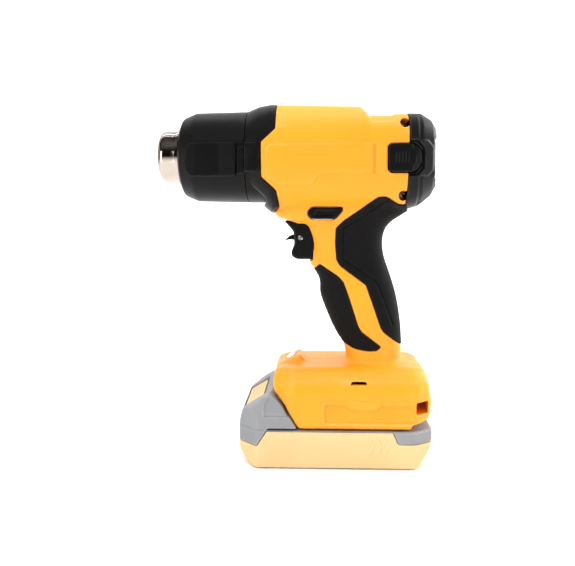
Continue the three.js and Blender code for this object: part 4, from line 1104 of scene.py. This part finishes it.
class BuildCasing(GunOperator, bpy.types.Operator):
    """Build the two halves of the yellow casing"""

    bl_idname = "heat_gun.casing"
    bl_label = "Casing halves"

    def build(self, sizes):
        for side, name in ((-1, "left"), (1, "right")):
            node = f"body_{name}_shell"
            place_moulded(f"casing_{name}", casing(side), sizes.casing_triangles, "housing", node, side < 0)


class BuildGrips(GunOperator, bpy.types.Operator):
    """Build the four rubber grip halves"""

    bl_idname = "heat_gun.grips"
    bl_label = "Rubber grips"

    def build(self, sizes):
        for place, shape, line in (("rear", REAR_GRIP, REAR_GRIP_LINE), ("front", FRONT_GRIP, None)):
            for side, name in ((-1, "left"), (1, "right")):
                made, end = grip_for(shape, line, side), f"{place}_{name}"
                place_moulded(f"rubber_{end}", made, 30000, "housing", f"grip_{end}", side < 0)


class BuildHead(GunOperator, bpy.types.Operator):
    """Build the black collar and the sleeve round the nozzle"""

    bl_idname = "heat_gun.head"
    bl_label = "Collar and shroud"

    def build(self, sizes):
        place_moulded("flared_collar", collar(), 50000, "housing", "shroud_collar")
        place_moulded("nozzle_sleeve", shroud(), 70000, "housing", "front_shroud")


class BuildNozzle(GunOperator, bpy.types.Operator):
    """Turn the bright nozzle with its rolled lip"""

    bl_idname = "heat_gun.nozzle"
    bl_label = "Nozzle"

    def build(self, sizes):
        low, high = reach_of("nozzle")
        tip, rear, outer, wall, lip = low.x, high.x, 17.3, 1.2, 3.2
        round_outside = [
            (outer - lip + lip * math.sin(a), tip + 4.5 * (1 - math.cos(a)))
            for a in np.linspace(0, math.pi / 2, 14)
        ]
        round_inside = [
            (outer - lip + (lip - wall) * math.sin(a), tip + 1.0 + 3.5 * (1 - math.cos(a)))
            for a in np.linspace(math.pi / 2, 0, 14)
        ]
        inner = outer - lip
        bead = [(inner - 0.35, tip + 0.85), (inner - 0.5, tip + 0.5), (inner - 0.35, tip + 0.15)]
        profile = bead + round_outside + [
            (outer, tip + 9), (outer, -80.5), (outer + 0.35, -78), (outer + 0.8, -76.3),
            (outer + 0.3, -74.5), (outer, -73), (outer, rear - 2.3),
            (outer + 0.3, rear - 2), (outer + 3, rear - 2),
            (outer + 3, rear), (outer - wall, rear), (outer - wall, rear - 20),
        ] + round_inside
        mesh = lathed("bright_nozzle", profile, (0, 0, AXIS_Z), "x", 160)
        place_piece("bright_nozzle", mesh, "housing", "nozzle")


class BuildCap(GunOperator, bpy.types.Operator):
    """Build the intake cap at the back"""

    bl_idname = "heat_gun.cap"
    bl_label = "Intake cap"

    def build(self, sizes):
        place_moulded("intake_cap_cover", rear_cap(), 80000, "intake_cap", "rear_cap")


class BuildLatches(GunOperator, bpy.types.Operator):
    """Build the two latch buttons of the intake cap"""

    bl_idname = "heat_gun.latches"
    bl_label = "Latch buttons"

    def build(self, sizes):
        for side, name in ((-1, "left"), (1, "right")):
            body, node = f"latch_button_{name}", f"latch_{name}"
            place_moulded(f"latch_pad_{name}", latch(), 14000, body, node, side < 0)


class BuildTrigger(GunOperator, bpy.types.Operator):
    """Build the trigger, its lock lever and the cross button"""

    bl_idname = "heat_gun.trigger"
    bl_label = "Trigger and buttons"

    def build(self, sizes):
        place_moulded("trigger_blade", trigger(), 20000, "trigger_assembly", "trigger")
        place_moulded("lever_arm", lever(), 9000, "lock_on_lever", "lock_lever")
        tip = reach_of("lever_pin")[1].y
        ends = [(0.0, tip), (0.6, tip), (0.8, tip - 0.2), (0.8, tip - 0.8), (1.25, tip - 0.8)]
        profile = ends + [(r, -h) for r, h in ends[::-1]]
        pin = lathed("pivot_pin", profile, centre_of("lever_pin"), "y", 32)
        place_piece("pivot_pin", pin, "trigger_assembly", "lever_pin")
        place_moulded("cross_button", lock_button(), 16000, "cross_bolt", "lock_button")


class BuildLamp(GunOperator, bpy.types.Operator):
    """Build the work lamp's lens"""

    bl_idname = "heat_gun.lamp"
    bl_label = "Work lamp"

    def build(self, sizes):
        place_moulded("work_lamp", lamp_lens(), 8000, "housing", "lamp_lens")


class BuildBattery(GunOperator, bpy.types.Operator):
    """Build the battery's top, base and release button"""

    bl_idname = "heat_gun.battery"
    bl_label = "Battery"

    def build(self, sizes):
        place_moulded("pack_top", pack_upper(), 90000, "battery", "battery_upper_housing")
        place_moulded("pack_base", pack_lower(), 80000, "battery", "battery_lower_housing")
        place_moulded("pack_release", release_button(), 16000, "battery_release", "battery_release_button")
        coil = frame["nodes"]["battery_release_spring"].data.copy()
        coil.materials.clear()
        spring = place_piece("release_coil", coil, "battery", "battery_release_spring")
        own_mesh(spring)


class BuildScrews(GunOperator, bpy.types.Operator):
    """Turn the six casing screws, each with a six-lobed socket in a domed head"""

    bl_idname = "heat_gun.screws"
    bl_label = "Casing screws"

    def build(self, sizes):
        for node, (x, z, side) in SCREWS.items():
            dome = [(2.8 * math.cos(a), 13.0 + 1.0 * math.sin(a)) for a in np.linspace(0, 1.25, 6)]
            socket = [(1.15, 13.9), (1.05, 12.9), (0.0, 12.6)]
            thread = []
            for i in range(14):
                h = -8.6 + 1.35 * i
                thread += [(1.02, h), (1.3, h + 0.45), (1.3, h + 0.65)]
            shank = [(1.25, 10.8), (1.3, 12.0), (2.7, 12.0), (2.8, 12.2)]
            profile = [(0.0, -9.0)] + thread + shank + dome + socket
            mesh = lathed("casing" + node[4:], [(r, h * side) for r, h in profile], (x, 0, z), "y", 36)
            place_piece(mesh.name, mesh, "housing", node)


class FinishInside(GunOperator, bpy.types.Operator):
    """Give the heater, motor, boards, leads and cells their finishes"""

    bl_idname = "heat_gun.inside"
    bl_label = "Inside pieces"

    def build(self, sizes):
        for node, piece in frame["nodes"].items():
            if piece.hide_render:
                continue
            piece.data.materials.clear()
            piece.data.materials.append(finish_of(SLOT_OF[node]))


class BuildStage(GunOperator, bpy.types.Operator):
    """Set up the pale floor, the soft lights and the camera"""

    bl_idname = "heat_gun.stage"
    bl_label = "Stage"

    def build(self, sizes):
        scene = bpy.context.scene
        scene.view_settings.view_transform = "Standard"
        bend = [(1.2 + 0.9 * math.sin(a), 0.9 - 0.9 * math.cos(a)) for a in np.linspace(0, 1.5, 13)]
        floor = ribbon("floor", [(-6.0, 0.0)] + bend + [(2.2, 5.0)], -7.0, 7.0)
        floor.data.shade_smooth()
        paper = Finish("floor_paper")
        tone = paper.mixed(paper.noise(3.0), (0.93, 0.93, 0.93, 1), (0.96, 0.96, 0.96, 1))
        floor.data.materials.append(paper.finish_with(Base_Color=tone, Roughness=0.9, Specular_IOR_Level=0.1))

        world = bpy.data.worlds.new("studio")
        scene.world = world
        world.use_nodes = True
        tree = world.node_tree
        back = tree.nodes["Background"]
        back.inputs["Color"].default_value = (1, 1, 1, 1)
        path = tree.nodes.new("ShaderNodeLightPath")
        strength = tree.nodes.new("ShaderNodeMapRange")
        strength.inputs["To Min"].default_value = 0.42
        strength.inputs["To Max"].default_value = 1.1
        tree.links.new(path.outputs["Is Camera Ray"], strength.inputs["Value"])
        tree.links.new(strength.outputs[0], back.inputs["Strength"])

        lights = {  # name: place, aim, width, height, power
            "key": ((-0.7, -0.75, 1.3), (0, 0, 0.14), 0.8, 0.6, 9.5),
            "fill": ((0.9, -1.3, 0.25), (0, 0, 0.12), 0.9, 0.5, 4.6),
            "top": ((0.0, -0.1, 1.3), (0, 0, 0.1), 1.2, 0.7, 11.0),
            "backdrop": ((0, 0.75, 1.6), (0, 2.2, 0.5), 2.5, 0.6, 40.0),
            "behind": ((0.85, 0.35, 0.45), (0.05, 0, 0.15), 0.6, 0.7, 9.0),
            "strip": ((-0.56, -0.5, 0.2), (-0.08, 0, 0.19), 0.18, 0.5, 1.3),
        }
        arc = [(-0.95 * math.cos(a), 0.2 + 0.95 * math.sin(a)) for a in np.linspace(-0.03, 1.75, 12)]
        card = ribbon("card", arc, -1.6, 0.5)
        felt = Finish("card_felt")
        tone = felt.mixed(felt.noise(40.0), (0.003, 0.003, 0.003, 1), (0.006, 0.006, 0.006, 1))
        card.data.materials.append(felt.finish_with(Base_Color=tone, Roughness=0.95, Specular_IOR_Level=0.0))
        card.visible_camera = card.visible_diffuse = card.visible_shadow = False
        for name, (place, aim, width, height, power) in lights.items():
            data = bpy.data.lights.new(name, "AREA")
            data.shape, data.size, data.size_y, data.energy = "RECTANGLE", width, height, power
            lamp = bpy.data.objects.new(name, data)
            lamp.location = place
            way = [a - p for a, p in zip(aim, place)]
            lamp.rotation_euler = Vector(way).to_track_quat("-Z", "Y").to_euler()
            scene.collection.objects.link(lamp)

        camera = bpy.data.objects.new("camera", bpy.data.cameras.new("camera"))
        camera.data.sensor_width = 36.0
        camera.data.lens = 38.07
        camera.data.shift_x, camera.data.shift_y = -0.025, -0.07
        camera.location = (0.0139, -0.39945, 0.15424)
        camera.rotation_euler = (math.radians(90 - 2.573), 0, math.radians(1.680))
        camera.data.clip_start = 0.01
        scene.collection.objects.link(camera)
        scene.camera = camera


OPERATORS = (
    BuildCasing, BuildGrips, BuildHead, BuildNozzle, BuildCap, BuildLatches, BuildTrigger, BuildLamp,
    BuildBattery, BuildScrews, FinishInside, BuildStage,
)


class HeatGunPanel(bpy.types.Panel):
    """Lists the gun's pieces, sizes and colours in the sidebar"""

    bl_idname = "VIEW3D_PT_heat_gun"
    bl_label = "Heat gun"
    bl_space_type = "VIEW_3D"
    bl_region_type = "UI"
    bl_category = "Heat gun"

    def draw(self, context):
        column_of = self.layout.column(align=True)
        for operator in OPERATORS:
            column_of.operator(operator.bl_idname, text=operator.bl_label)
        for name in HeatGunSizes.__annotations__:
            self.layout.prop(context.scene.heat_gun_sizes, name)
        for name in COLOURS:
            self.layout.prop(context.scene.heat_gun_colours, name)


CLASSES = (HeatGunColours, HeatGunSizes, *OPERATORS, HeatGunPanel)


def register():
    for one in CLASSES:
        bpy.utils.register_class(one)
    bpy.types.Scene.heat_gun_colours = bpy.props.PointerProperty(type=HeatGunColours)
    bpy.types.Scene.heat_gun_sizes = bpy.props.PointerProperty(type=HeatGunSizes)


def unregister():
    del bpy.types.Scene.heat_gun_sizes
    del bpy.types.Scene.heat_gun_colours
    for one in reversed(CLASSES):
        bpy.utils.unregister_class(one)


def main():
    register()
    for operator in OPERATORS:
        getattr(bpy.ops.heat_gun, operator.bl_idname.split(".")[1])()


if __name__ == "__main__":
    main()
